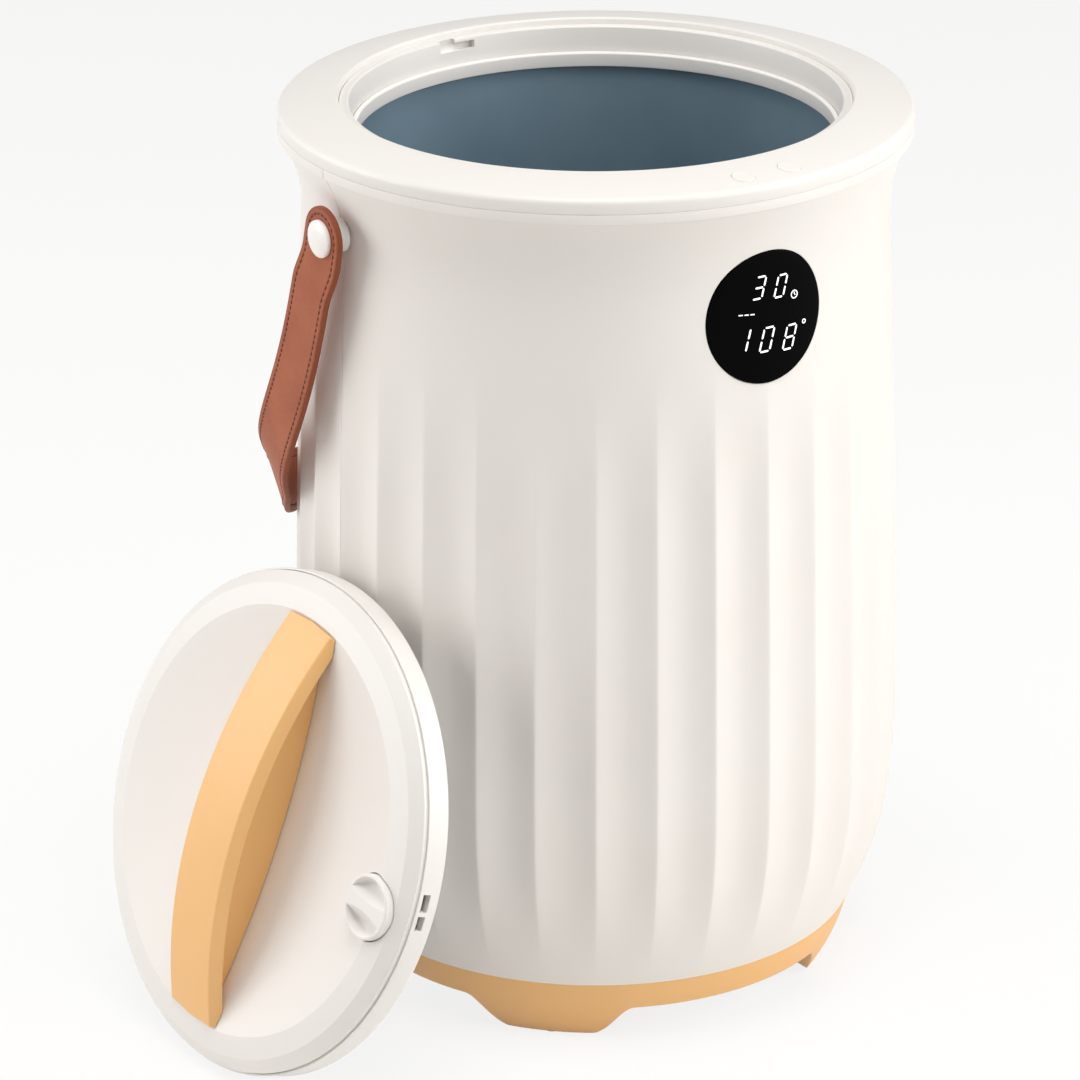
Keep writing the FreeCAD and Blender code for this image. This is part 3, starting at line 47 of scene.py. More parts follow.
# Bucket
RIM_RADIUS = 150.0
RING_INNER_RADIUS = 121.0
RING_SEAM = 427.6
RING_EDGE = 434.6
RING_CREST = 439.4
RING_WALL = 2.8
RING_EDGE_ROUND = 3.2
RING_MOUTH_ROUND = 1.3
CLOSE_GAP = 0.3
COLLAR_RADIUS = 116.4
COLLAR_TOP = 436.1
COLLAR_FLANGE = 430.8
THROAT_RADIUS = 115.3
THROAT_TOP = 424.3
COLLAR_FOOT = 421.0
COLLAR_WALL = 2.5
COLLAR_FLANGE_RADIUS = 131.0
COLLAR_ROUND = 0.9
THROAT_ROUND = 0.4
LIP_RADIUS = 112.8
LIP_TOP = 423.4
LIP_FOOT = 416.6
LIP_FLANGE_RADIUS = 122.0
LIP_FLANGE_FOOT = 418.4
LIP_SKIRT_RADIUS = 115.8
LIP_ROUND = 0.9
LIP_FOOT_ROUND = 0.5
SLOT_FLOOR = 430.4
SLOT_DEPTH_RADIUS = 118.4
SLOT_AZIMUTH = 184.6
# Width, height and shift of a slot's way in and of the run in which the lid's lug turns
SLOT_BLOCKS = ((9.0, 12.0, 0.0), (20.0, 3.9, -5.5))
SHELL_WALL = 2.8
SHELL_FOOT_RADIUS = 126.3
BELLY_RADIUS = 147.0
BELLY_HEIGHT = 130.0
BELLY_POWER = 2.5
TAPER_POWER = 1.4
NECK_RADIUS = 139.3
NECK_HEIGHT = 388.0
COVE_RADIUS = 148.5
COVE_HEIGHT = 422.6
BAND_INNER_RADIUS = 146.0
BAND_ROUND = 0.6
SEAM_ROUND = 0.45
SEAM_GAP = 0.36
CLOSE_STEPS_TOP = 60.0
FLUTES = 32
FLUTE_DEPTH = 3.4
FLUTE_START_RISE = 70.8
FLUTE_END_HEIGHT = 356.0
FLUTE_END_FALL = 94.0
RIDGE_SOFTNESS = 0.06
BASE_TOP = 33.2
BASE_INNER_RADIUS = 116.4
FOOT_RADIUS = 112.6
FOOT_INNER_RADIUS = 101.0
BASE_SHELF_LOW = 9.5
BASE_SHELF_HIGH = 16.0
BASE_EDGE_ROUND = 1.0
FLANK_BEND = 88.0
SOLE = 0.6
ARCH_HEIGHT = 18.2
ARCH_FOOT_HALF = 64.6
ARCH_TOP_HALF = 51.0
ARCH_BEND = 7.0
ARCH_SHOULDER_ANGLE = 22.0
LENS_HEIGHT = 368.0
LENS_RADIUS = 31.5
LENS_PROUD = 0.5
LENS_WALL = 1.5
LENS_ROUND = 0.5
LENS_FACE_INSET = 0.6
BUTTON_RADIUS = 5.4
BUTTON_CIRCLE = 138.6
BUTTON_AZIMUTH = 5.2
BUTTON_GAP = 0.12
BUTTON_PROUD = 0.4
BUTTON_FOOT = -3.1
BUTTON_ROUND = 0.35
BUTTON_GROOVE_RADIUS = 4.15
BUTTON_GROOVE_DEPTH = 0.15
# Strap
HINGE_HEIGHT = 394.6
STRAP_WIDTH = 30.0
STRAP_WALL = 3.0
STRAP_ROUND = 0.9
BURNISH_EDGE = 0.2
BURNISH_WIDTH = 1.6
STITCH_INSET = 3.5
STITCH_PITCH = 3.3
STITCH_HALF_LENGTH = 1.1
STITCH_HALF_WIDTH = 0.42
STITCH_HALF_RISE = 0.34
STITCH_PROUD = 0.02
RIVET_GAP = 0.06
RIVET_CAP_RADIUS = 8.9
RIVET_CAP_EDGE = 2.0
RIVET_CROWN = 3.6
RIVET_DOME_RADIUS = 5.2
RIVET_DOME_RISE = 3.2
RIVET_SHANK_RADIUS = 3.0
RIVET_SHANK_END = 130.4
RIVET_ROUNDS = (9.0, 1.1, 0.3)
STRAP_RIVET_RADIUS = 150.2
STRAP_LEG_RADIUS = 153.2
STRAP_HUG_RADIUS = 153.6
STRAP_BACK_RADIUS = 159.5
STRAP_DROP = 178.8
STRAP_LEAN = 15.4
STRAP_REACH_SHARE = 0.82
STRAP_SWEEP_SHARE = 0.354
STRAP_FLAT_DROP = 9.5
STRAP_LEG_DROP = 28.0
STRAP_BEND_ARC = 24.6
STRAP_BENT_ARC = 82.5
STRAP_TWIST_ARC = 110.0
STRAP_TURN_ARC = 203.0
# Lid
LID_CENTRE = (-179.083, -13.465, 111.716)
LID_AZIMUTH = -85.7
LID_TILT = 18.4
LID_ROLL = -4.7
LID_RADIUS = 120.0
PLUG_RADIUS = 109.8
PLUG_DEPTH = 7.0
PLUG_ROUNDS = (0.6, 0.8)
LID_WALL = 2.6
FLANGE_TOP = 17.9
FLANGE_ROUNDS = (1.2, 0.15)
COVER_RADIUS = 118.8
COVER_ROUNDS = (0.5, 1.2, 1.4)
BAND_TOP = 20.9
BORDER_RADIUS = 112.6
BORDER_HEIGHT = 25.3
DISH_RADIUS = 102.0
DISH_HEIGHT = 27.1
DISH_DEPTH = 10.0
HANDLE_END_RADIUS = 101.2
HANDLE_END_HEIGHT = 28.2
HANDLE_CROWN = 50.0
HANDLE_HALF_WIDTH = 17.0
HANDLE_BEVEL = 2.2
HANDLE_BEVEL_DROP = 7.5
HANDLE_WEB_HALF = 11.0
HANDLE_WEB_DROP = 40.0
HANDLE_TOP_ROUND = 1.6
HANDLE_SIDE_ROUND = 1.1
HANDLE_WEB_ROUND = 1.5
HANDLE_GAP = 0.45
SEAM_WIDTH = 0.28
SEAM_RISE = 0.9
SEAM_DEPTH = 2.2
LID_SLOT_AZIMUTH = 93.5
LID_SLOT_LENGTH = 8.0
LID_SLOT_HEIGHT = 4.6
LID_SLOT_FOOT = 12.6
LID_SLOT_DEPTH = 5.0
# Width and shift of each of the two slots in the lid's edge
LID_SLOTS = ((7.0, -5.0), (8.6, 4.8))
LUG_SIZE = (6.4, 8.0, 3.0)
LUG_START_RADIUS = 107.2
LUG_FOOT = 1.4
KNOB_CIRCLE = 97.2
KNOB_RADIUS = 15.4
KNOB_GAP = 0.6
KNOB_TOP = 29.6
KNOB_FOOT = 15.6
KNOB_ROUND = 0.9
KNOB_WALL = 1.8
KNOB_HOLLOW = 2.0
KNOB_BAR_ANGLE = -2.0
KNOB_BAR_HALF = 2.6
KNOB_BAR_FLARE = 2.2
KNOB_BAR_REACH = 13.6
KNOB_BAR_SLOPE = 1.15
KNOB_RIM_SLOPE = 2.4
KNOB_POCKET_RADIUS = 13.9
KNOB_POCKET_DEPTH = 6.5
KNOB_FINE_RADIUS = 11.5


# Mesh helpers

def eased(way):
    """Smooth step: 3w^2 - 2w^3 of a way held between 0 and 1."""
    way = np.clip(way, 0, 1)
    return way * way * (3 - 2 * way)


def unit(vectors):
    """Vectors brought to length 1."""
    return vectors / np.maximum(np.linalg.norm(vectors, axis=-1, keepdims=True), 1e-9)


def joined(*axes):
    """Coordinates side by side, each spread to the shape of all."""
    return np.stack(np.broadcast_arrays(*axes), -1)


def run_length(line):
    """Length along a line of points, up to each of them."""
    return np.append(0, np.cumsum(np.linalg.norm(np.diff(line, axis=0), axis=1)))


def sampled(places, known, field):
    """Rows of a field at places between the known ones."""
    return joined(*(np.interp(places, known, column) for column in field.T))


def rounded_outline(corners, radii, steps=6):
    """Closed outline whose corners are arcs: an arc of radius r leaves the sides r / tan(half
    angle) before the corner, about a centre r / sin(half angle) along the bisector."""
    corners = np.asarray(corners, float)
    radii = np.asarray(radii, float)[:, None]
    before = unit(np.roll(corners, 1, axis=-2) - corners)
    after = unit(np.roll(corners, -1, axis=-2) - corners)
    cosine = np.clip(np.sum(before * after, axis=-1, keepdims=True), -0.999999, 0.999999)
    half = np.arccos(cosine) / 2
    centre = corners + unit(before + after) * radii / np.sin(half)
    spokes = [corners + side * radii / np.tan(half) - centre for side in (before, after)]
    sweep = np.maximum(math.pi - 2 * half, 1e-6)[..., None, :]
    way = np.linspace(0, 1, steps)[:, None]
    arcs = centre[..., None, :] + (np.sin((1 - way) * sweep) * spokes[0][..., None, :]
                                   + np.sin(way * sweep) * spokes[1][..., None, :]) / np.sin(sweep)
    return arcs.reshape(corners.shape[:-2] + (-1, 2))


def around(radius, angle, height):
    """Points about Z: (r sin a, -r cos a, h)."""
    return joined(radius * np.sin(angle), -radius * np.cos(angle), height)


def turned(outline, turns=240):
    """Outline of (radius, height) carried round Z."""
    angle = np.linspace(0, 2 * math.pi, turns, endpoint=False)[:, None]
    return around(outline[:, 0], angle, outline[:, 1])


def quads(rows, columns, wrap_rows, wrap_columns):
    """Corner numbers of the quads of a grid whose points are counted row by row."""
    row = np.arange(rows if wrap_rows else rows - 1)[:, None]
    column = np.arange(columns if wrap_columns else columns - 1)[None, :]
    below, beside = (row + 1) % rows, (column + 1) % columns
    corners = (row * columns + column, row * columns + beside,
               below * columns + beside, below * columns + column)
    return joined(*corners).reshape(-1, 4)


def skin(name, patches, capped=False, marks=None):
    """Mesh of one or more grids (points in mm, wrap rows, wrap columns), with flat faces over the
    first and the last row where capped. Touching points are merged, faces turned outwards."""
    points = np.concatenate([np.asarray(grid).reshape(-1, 3) for grid, _, _ in patches]) * MM
    faces, start = [], 0
    for grid, wrap_rows, wrap_columns in patches:
        rows, columns = np.shape(grid)[:2]
        faces += (quads(rows, columns, wrap_rows, wrap_columns) + start).tolist()
        if capped:
            faces += [list(range(row, row + columns)) for row in (start, start + (rows - 1) * columns)]
        start += rows * columns
    mesh = bpy.data.meshes.new(name)
    mesh.from_pydata(points, [], faces)
    for mark, values in (marks or {}).items():
        layer = mesh.attributes.new(mark, "FLOAT", "POINT")
        layer.data.foreach_set("value", np.asarray(values, np.float32).ravel())
    shape = bmesh.new()
    shape.from_mesh(mesh)
    bmesh.ops.remove_doubles(shape, verts=shape.verts, dist=0.002 * MM)
    bmesh.ops.dissolve_degenerate(shape, edges=shape.edges, dist=0.001 * MM)
    bmesh.ops.recalc_face_normals(shape, faces=shape.faces)
    shape.to_mesh(mesh)
    shape.free()
    return mesh


def placed(name, data):
    """New object in the scene, at the origin."""
    made = bpy.data.objects.new(name, data)
    bpy.context.scene.collection.objects.link(made)
    return made


def hollowed(mesh, tools):
    """Mesh less the solids of the tool meshes."""
    target = placed("target", mesh)
    cutters = [placed("cutter", tool) for tool in tools]
    for cutter in cutters:
        cut = target.modifiers.new("cut", "BOOLEAN")
        cut.object = cutter
        cut.solver = "EXACT"
    bpy.context.view_layer.update()
    depsgraph = bpy.context.evaluated_depsgraph_get()
    result = bpy.data.meshes.new_from_object(target.evaluated_get(depsgraph))
    result.name = mesh.name
    for item in [target] + cutters:
        bpy.data.objects.remove(item)
    return result


def stand(mesh, material, body, nodes=(), sharp=32):
    """Object for a finished mesh: its finish, its body and the nodes it replaces."""
    mesh.shade_smooth()
    mesh.set_sharp_from_angle(angle=math.radians(sharp))
    mesh.materials.clear()
    mesh.materials.append(material)
    made = placed(mesh.name, mesh)
    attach(made, body)
    if nodes:
        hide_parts(*nodes)


def tube(radius, low, high, turns=96):
    """Closed cylinder about Z, as a cutting tool."""
    return turned(np.array([(0, low), (radius, low), (radius, high), (0, high)]), turns)


def box(length, width, height):
    """Corners of a block from x = 0 outwards, centred on y, standing on z = 0."""
    ring = np.array([(0, -1), (1, -1), (1, 1), (0, 1)], float) * (length, width / 2)
    return np.stack([np.concatenate([ring * scale, np.full((4, 1), level)], 1)
                     for scale, level in ((0, 0), (1, 0), (1, height), (0, height))])


def facing(points, azimuth, radius=0.0, height=0.0):
    """Points moved to an azimuth: local x outwards, local z up."""
    angle = math.radians(azimuth - 90)
    x, y, z = np.moveaxis(points + [radius, 0, height], -1, 0)
    return joined(x * math.cos(angle) - y * math.sin(angle),
                  x * math.sin(angle) + y * math.cos(angle), z)


def spin(axis, degrees):
    """3 x 3 turn about one axis."""
    return np.array(Matrix.Rotation(math.radians(degrees), 3, axis))


LID_TURN = spin("Z", LID_AZIMUTH - 90) @ spin("Y", 90 - LID_TILT) @ spin("Z", 90 + LID_ROLL)


def on_lid(points):
    """Points of the lid's own frame in the part's frame."""
    return points @ LID_TURN.T + LID_CENTRE


# Materials

def linear(code):
    """sRGB hex colour as linear RGBA."""
    parts = [int(code[at:at + 2], 16) / 255 for at in (1, 3, 5)]
    return [p / 12.92 if p <= 0.04045 else ((p + 0.055) / 1.055) ** 2.4 for p in parts] + [1]


def put(tree, node, inputs):
    """Inputs of a node: each takes a value, a hex colour or another node's socket."""
    for name, value in inputs.items():
        if isinstance(value, bpy.types.NodeSocket):
            tree.links.new(value, node.inputs[name])
        else:
            node.inputs[name].default_value = linear(value) if isinstance(value, str) else value


def add(tree, kind, inputs=None, **settings):
    """One new node with its settings and inputs."""
    made = tree.nodes.new("ShaderNode" + kind)
    for name, value in settings.items():
        setattr(made, name, value)
    put(tree, made, inputs or {})
    return made


def finished(name, look, *sizes):
    """New material: its look gives the inputs of the Principled shader, made from the node tree,
    the Object coordinates and the look's own sizes."""
    material = bpy.data.materials.new(name)
    material.use_nodes = True
    tree = material.node_tree
    spot = add(tree, "TexCoord").outputs["Object"]
    put(tree, tree.nodes["Principled BSDF"], look(tree, spot, *sizes))
    return material


def noise(tree, spot, size_mm, detail):
    """Noise whose blotches have a size in millimetres."""
    scale = 1 / (size_mm * MM)
    return add(tree, "TexNoise", {"Vector": spot, "Scale": scale, "Detail": detail}).outputs[0]


def blend(tree, share, first, second):
    """Mix of two colours."""
    return add(tree, "Mix", {0: share, 6: first, 7: second}, data_type="RGBA").outputs[2]


def ranged(tree, value, low=0, high=1, start=0, end=1):
    """Value carried from low and high to start and end."""
    return add(tree, "MapRange", {"Value": value, "From Min": low, "From Max": high,
                                  "To Min": start, "To Max": end}).outputs[0]


def bumped(tree, height, strength, depth_mm, under=None):
    """Bump of a depth in millimetres, over another bump where one is given."""
    made = add(tree, "Bump", {"Strength": strength, "Distance": depth_mm * MM, "Height": height})
    if under is not None:
        put(tree, made, {"Normal": under})
    return made.outputs[0]


def moulded_plastic(tree, spot, pale, deep, roughness, grain_mm, grain_depth, sheen=0.5):
    """Injection-moulded plastic: an even colour that drifts a little over a hand's breadth, and
    the fine eroded grain of its mould in bump and gloss."""
    grain = noise(tree, spot, grain_mm, 3)
    return {"Base Color": blend(tree, noise(tree, spot, 70, 2), pale, deep),
            "Roughness": ranged(tree, grain, 0.3, 0.7, roughness - 0.04, roughness + 0.05),
            "IOR": 1.5, "Specular IOR Level": sheen,
            "Normal": bumped(tree, grain, 0.5, grain_depth)}


def sprayed_enamel(tree, spot, pale, deep):
    """Non-stick coat sprayed on steel: cloudy, with a fine orange peel."""
    cloud = ranged(tree, noise(tree, spot, 90, 4), 0.35, 0.65)
    return {"Base Color": blend(tree, cloud, pale, deep), "Roughness": 0.42,
            "Normal": bumped(tree, noise(tree, spot, 1.6, 2), 0.4, 0.05)}


def display_glass(tree, spot, colour):
    """Black-backed acrylic window, polished, with faint handling haze in its gloss. Its mirror is
    held low, because the window looks fully black."""
    gloss = ranged(tree, noise(tree, spot, 18, 5), start=0.06, end=0.16)
    return {"Base Color": colour, "Roughness": gloss, "IOR": 1.49, "Specular IOR Level": 0.03}


def lit_segment(tree, spot, pale, deep):
    """Light-emitting segments behind the window."""
    colour = blend(tree, noise(tree, spot, 4, 1), pale, deep)
    return {"Base Color": "#D8D8D8", "Emission Color": colour, "Emission Strength": 1.0}


def strap_hide(tree, spot, pale, deep, burnished):
    """Drum-dyed cowhide: pebble grain about 1.1 mm across, cloudy colour, a pressed line under
    the stitches, and cut edges burnished darker. The 'inset' mark is the distance from the
    strap's edge in millimetres."""
    inset = add(tree, "Attribute", attribute_name="inset").outputs["Fac"]
    cloud = ranged(tree, noise(tree, spot, 26, 5), 0.3, 0.7)
    rim = ranged(tree, inset, BURNISH_EDGE, BURNISH_WIDTH, 1, 0)
    pebble = add(tree, "TexVoronoi", {"Vector": spot, "Scale": 1 / (1.1 * MM)},
                 feature="DISTANCE_TO_EDGE")
    grain = ranged(tree, pebble.outputs[0], high=0.25)
    off_line = add(tree, "Math", {0: inset, 1: STITCH_INSET}, operation="SUBTRACT")
    off_line = add(tree, "Math", {0: off_line.outputs[0]}, operation="ABSOLUTE")
    relief = bumped(tree, grain, 0.35, 0.12)
    relief = bumped(tree, noise(tree, spot, 5, 6), 0.4, 0.3, relief)
    relief = bumped(tree, ranged(tree, off_line.outputs[0], high=0.9), 0.8, 0.5, relief)
    return {"Base Color": blend(tree, rim, blend(tree, cloud, pale, deep), burnished),
            "Roughness": ranged(tree, grain, start=0.62, end=0.48), "Specular IOR Level": 0.24,
            "Normal": relief}


def waxed_thread(tree, spot, pale, deep):
    """Twisted sewing thread: fine bands across each stitch."""
    twist = noise(tree, spot, 0.5, 2)
    return {"Base Color": blend(tree, twist, pale, deep), "Roughness": 0.6,
            "Normal": bumped(tree, twist, 0.5, 0.1)}


def drawn_metal(tree, spot, colour, roughness, line_mm):
    """Bare metal with drawn lines: noise stretched along X to a line's width."""
    stretched = add(tree, "Mapping", {"Vector": spot, "Scale": (0.06, 1, 1)})
    lines = noise(tree, stretched.outputs[0], line_mm, 3)
    return {"Base Color": colour, "Metallic": 1,
            "Roughness": ranged(tree, lines, start=roughness - 0.08, end=roughness + 0.1)}


def soft_matt(tree, spot, pale, deep, fibre_mm, depth_mm):
    """Rubber, felt or foam: matt, with its own grit or fibre as colour and bump."""
    fibre = noise(tree, spot, fibre_mm, 5)
    return {"Base Color": blend(tree, fibre, pale, deep), "Roughness": 0.85,
            "Normal": bumped(tree, fibre, 0.7, depth_mm)}


def solder_mask(tree, spot, lacquer, track):
    """Lacquered circuit board: paler copper round squarish cells about 5 mm across."""
    runs = add(tree, "TexVoronoi", {"Vector": spot, "Scale": 1 / (5 * MM)}, distance="CHEBYCHEV",
               feature="F1")
    copper = ranged(tree, runs.outputs[0], 0.38, 0.44)
    return {"Base Color": blend(tree, copper, lacquer, track), "Roughness": 0.35}


# ABS shells with a fine eroded texture: satin, warm white. The grain is drawn at 0.9 mm, about
# twice its real size, so that it shows at all.
shell_abs = finished("textured_white_abs", moulded_plastic, "#F0ECE7", "#ECE7E1", 0.5, 0.9, 0.03)
# Ring, collar and lid: the same ABS from a smoother mould
trim_abs = finished("smooth_white_abs", moulded_plastic, "#EEEAE6", "#EAE6E1", 0.42, 1.4, 0.012)
# Base ring and handle: satin polypropylene dyed peach; its strong sheen pales the lit faces
peach_pp = finished("peach_polypropylene", moulded_plastic, "#F4C07C", "#F0B871", 0.48, 1.0, 0.02,
                    0.8)
# Sealed inner mouldings: matt black nylon
inner_nylon = finished("black_nylon", moulded_plastic, "#2A2A2B", "#222223", 0.6, 0.8, 0.03)
# Rivet caps and their washers: glossy acetal
rivet_acetal = finished("glossy_white_acetal", moulded_plastic, "#F6F4F0", "#F4F1ED", 0.32, 0.5,
                        0.003)
# Push buttons and cord gland: ABS, a shade paler and glossier than the ring
button_abs = finished("button_white_abs", moulded_plastic, "#EFEBE6", "#ECE8E2", 0.4, 1.2, 0.01)
liner_coat = finished("blue_grey_coating", sprayed_enamel, "#6F8796", "#7C93A2")
black_glass = finished("polished_black_acrylic", display_glass, "#040405")
white_segment = finished("lit_white_segment", lit_segment, "#FFFFFF", "#F1F4F6")
cowhide = finished("brown_cowhide", strap_hide, "#AE6243", "#9D553A", "#8C4A31")
thread = finished("dark_waxed_thread", waxed_thread, "#3E1C14", "#63301F")
screw_steel = finished("zinc_plated_steel", drawn_metal, "#B4B6B8", 0.35, 0.6)
nut_brass = finished("turned_brass", drawn_metal, "#C9A45A", 0.3, 0.4)
heater_foil = finished("aluminium_foil", drawn_metal, "#C9C6C0", 0.3, 1.5)
reflector = finished("satin_aluminium", drawn_metal, "#D2D3D5", 0.32, 0.8)
seal_silicone = finished("grey_silicone", soft_matt, "#BEBDBA", "#AFAEAB", 0.8, 0.02)
pad_rubber = finished("black_rubber", soft_matt, "#242424", "#181818", 0.9, 0.05)
felt = finished("grey_felt", soft_matt, "#9A9A96", "#7F7F7B", 0.7, 0.3)
board_lacquer = finished("green_circuit_board", solder_mask, "#0F5A30", "#2C8450")

CAD_FINISHES = (
    (liner_coat, "liner"),
    (screw_steel, "ring_screws", "cover_screws", "lid_screws", "handle_screws"),
    (nut_brass, "strap_nuts"),
    (heater_foil, "heater_film"),
    (reflector, "thermostat", "lid_reflector"),
    (felt, "insulation_sleeve", "thermal_fuse", "lid_foam", "scent_pad"),
    (inner_nylon, "display_housing", "chassis", "display_cable"),
    (board_lacquer, "display_board", "control_board", "button_board"),
    (pad_rubber, "foot_pads"),
    (seal_silicone, "lid_seal"),
    (button_abs, "cord_gland"),
    (trim_abs, "bottom_cover", "scent_cup"),
    (rivet_acetal, "strap_washers"),
)
for material, *labels in CAD_FINISHES:
    for label in labels:
        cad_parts[label].data.materials.clear()
        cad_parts[label].data.materials.append(material)


# Fluted shells

def ridge_radius(height):
    """Rounded belly 1 - (1 - w)^p, slow taper w^q to the neck, cove w^2 out to the band, where w is
    the way up each zone."""
    low = np.clip((height - BASE_TOP) / (BELLY_HEIGHT - BASE_TOP), 0, 1)
    swell = 1 - (1 - low) ** BELLY_POWER
    belly = SHELL_FOOT_RADIUS + (BELLY_RADIUS - SHELL_FOOT_RADIUS) * swell
    middle = np.clip((height - BELLY_HEIGHT) / (NECK_HEIGHT - BELLY_HEIGHT), 0, 1)
    high = np.clip((height - NECK_HEIGHT) / (COVE_HEIGHT - NECK_HEIGHT), 0, 1)
    return (belly - (BELLY_RADIUS - NECK_RADIUS) * middle ** TAPER_POWER
            + (COVE_RADIUS - NECK_RADIUS) * high ** 2)


def flute_depth(height):
    """Full over the middle of the body, eased out into its rounded foot and below the display."""
    start = eased((height - BASE_TOP) / FLUTE_START_RISE)
    return FLUTE_DEPTH * start * eased((FLUTE_END_HEIGHT - height) / FLUTE_END_FALL)


def flute_scoop(azimuth):
    """0 on a ridge and 1 in the middle of a flute: d(2 - d), where d is the distance from the
    nearest ridge with its corner softened as sqrt(d^2 + s^2) - s."""
    distance = 1 - np.abs(2 * (azimuth * FLUTES / 360 % 1) - 1)
    distance = np.sqrt(distance ** 2 + RIDGE_SOFTNESS ** 2) - RIDGE_SOFTNESS
    return distance * (2 - distance)


def half_shell(node, middle, tools=(), flute_steps=18):
    """Half of the body about one azimuth: outside wall, rim band and inside wall as one loop,
    carried round half a turn and closed at the two seams. Steps are close by the ridges and in the
    rounded foot."""
    across = (1 - np.cos(np.linspace(0, math.pi, flute_steps + 1)[:-1])) / 2
    half_gap = math.degrees(SEAM_GAP / 2 / BELLY_RADIUS)
    steps = np.arange(FLUTES // 2)[:, None] + across
    azimuth = np.append(steps.ravel(), FLUTES // 2) * 360 / FLUTES - 90
    azimuth = middle + np.clip(azimuth, half_gap - 90, 90 - half_gap)
    rise = np.concatenate([np.linspace(BASE_TOP, CLOSE_STEPS_TOP, 14),
                           np.linspace(CLOSE_STEPS_TOP + 3, COVE_HEIGHT, 86)])
    band = rounded_outline([(COVE_RADIUS, COVE_HEIGHT), (RIM_RADIUS, COVE_HEIGHT),
                            (RIM_RADIUS, RING_SEAM), (BAND_INNER_RADIUS, RING_SEAM),
                            (BAND_INNER_RADIUS, COVE_HEIGHT)],
                           [0, BAND_ROUND, SEAM_ROUND, 0, 0], 5)
    fall = np.linspace(COVE_HEIGHT, BASE_TOP, 40)
    height = np.concatenate([rise, band[:, 1], fall])
    radius = np.concatenate([ridge_radius(rise), band[:, 0], ridge_radius(fall) - SHELL_WALL])
    depth = np.concatenate([flute_depth(rise), 0 * band[:, 0], flute_depth(fall)])
    reach = radius - depth * flute_scoop(azimuth)[:, None]
    grid = around(reach, np.radians(azimuth)[:, None], height)
    mesh = skin(node + "_skin", [(grid, False, True)], capped=True)
    if tools:
        mesh = hollowed(mesh, tools)
    stand(mesh, shell_abs, "bucket", [node], sharp=40)


def on_front(points):
    """Points made about Z turned to look out of the display: local z towards -Y."""
    x, y, z = np.moveaxis(points, -1, 0)
    return joined(x, -z, y + LENS_HEIGHT)


# Cutters run from inside the wall they pierce to outside it, so their lengths don't show
lens_cut = on_front(tube(LENS_RADIUS + CLOSE_GAP, 100, 170))
lens_bore = skin("lens_bore", [(lens_cut, True, False)])
half_shell("front_shell", 0, [lens_bore])
half_shell("rear_shell", 180)


# Top ring, collar, lip

RING_SLOPE = math.atan2(RING_CREST - RING_EDGE, RIM_RADIUS - RING_INNER_RADIUS)


def on_ring(points, azimuth):
    """Points made about Z stood square on the ring's sloping face where a button is."""
    x, y, z = np.moveaxis(points, -1, 0)
    leaned = joined(x * math.cos(RING_SLOPE) + z * math.sin(RING_SLOPE), y,
                    z * math.cos(RING_SLOPE) - x * math.sin(RING_SLOPE))
    height = RING_EDGE + math.tan(RING_SLOPE) * (RIM_RADIUS - BUTTON_CIRCLE)
    return facing(leaned, azimuth, BUTTON_CIRCLE, height)


ring_outline = rounded_outline([
    (RIM_RADIUS, RING_SEAM), (RIM_RADIUS, RING_EDGE), (RING_INNER_RADIUS, RING_CREST),
    (RING_INNER_RADIUS, COLLAR_FLANGE), (RING_INNER_RADIUS + RING_WALL, COLLAR_FLANGE),
    (RING_INNER_RADIUS + RING_WALL, RING_CREST - RING_WALL),
    (RIM_RADIUS - RING_WALL, RING_EDGE - RING_WALL), (RIM_RADIUS - RING_WALL, RING_SEAM)],
    [SEAM_ROUND, RING_EDGE_ROUND, RING_MOUTH_ROUND, 0, 0, 0, 0, 0], 7)
button_cut = tube(BUTTON_RADIUS + BUTTON_GAP, -6, 4)
button_bores = [skin("button_bore", [(on_ring(button_cut, side), True, False)])
                for side in (-BUTTON_AZIMUTH, BUTTON_AZIMUTH)]
ring_mesh = skin("top_ring_skin", [(turned(ring_outline, 360), True, True)])
stand(hollowed(ring_mesh, button_bores), trim_abs, "bucket", ["top_ring"])

collar_outline = rounded_outline([
    (COLLAR_RADIUS, COLLAR_TOP), (RING_INNER_RADIUS - CLOSE_GAP, COLLAR_TOP),
    (RING_INNER_RADIUS - CLOSE_GAP, COLLAR_FLANGE), (COLLAR_FLANGE_RADIUS, COLLAR_FLANGE),
    (COLLAR_FLANGE_RADIUS, COLLAR_FLANGE - COLLAR_WALL),
    (COLLAR_RADIUS + COLLAR_WALL, COLLAR_FLANGE - COLLAR_WALL),
    (COLLAR_RADIUS + COLLAR_WALL, COLLAR_FOOT), (THROAT_RADIUS, COLLAR_FOOT),
    (THROAT_RADIUS, THROAT_TOP)], [COLLAR_ROUND, CLOSE_GAP, 0, 0, 0, 0, 0, 0, THROAT_ROUND])
slot_tools = []
for azimuth in (SLOT_AZIMUTH, SLOT_AZIMUTH + 180):
    for width, height, side in SLOT_BLOCKS:
        block = box(SLOT_DEPTH_RADIUS, width, height) + [0, side, SLOT_FLOOR]
        slot_tools.append(skin("slot_tool", [(facing(block, azimuth), False, True)]))
collar_mesh = skin("collar_skin", [(turned(collar_outline, 300), True, True)])
stand(hollowed(collar_mesh, slot_tools), trim_abs, "bucket", ["collar"])

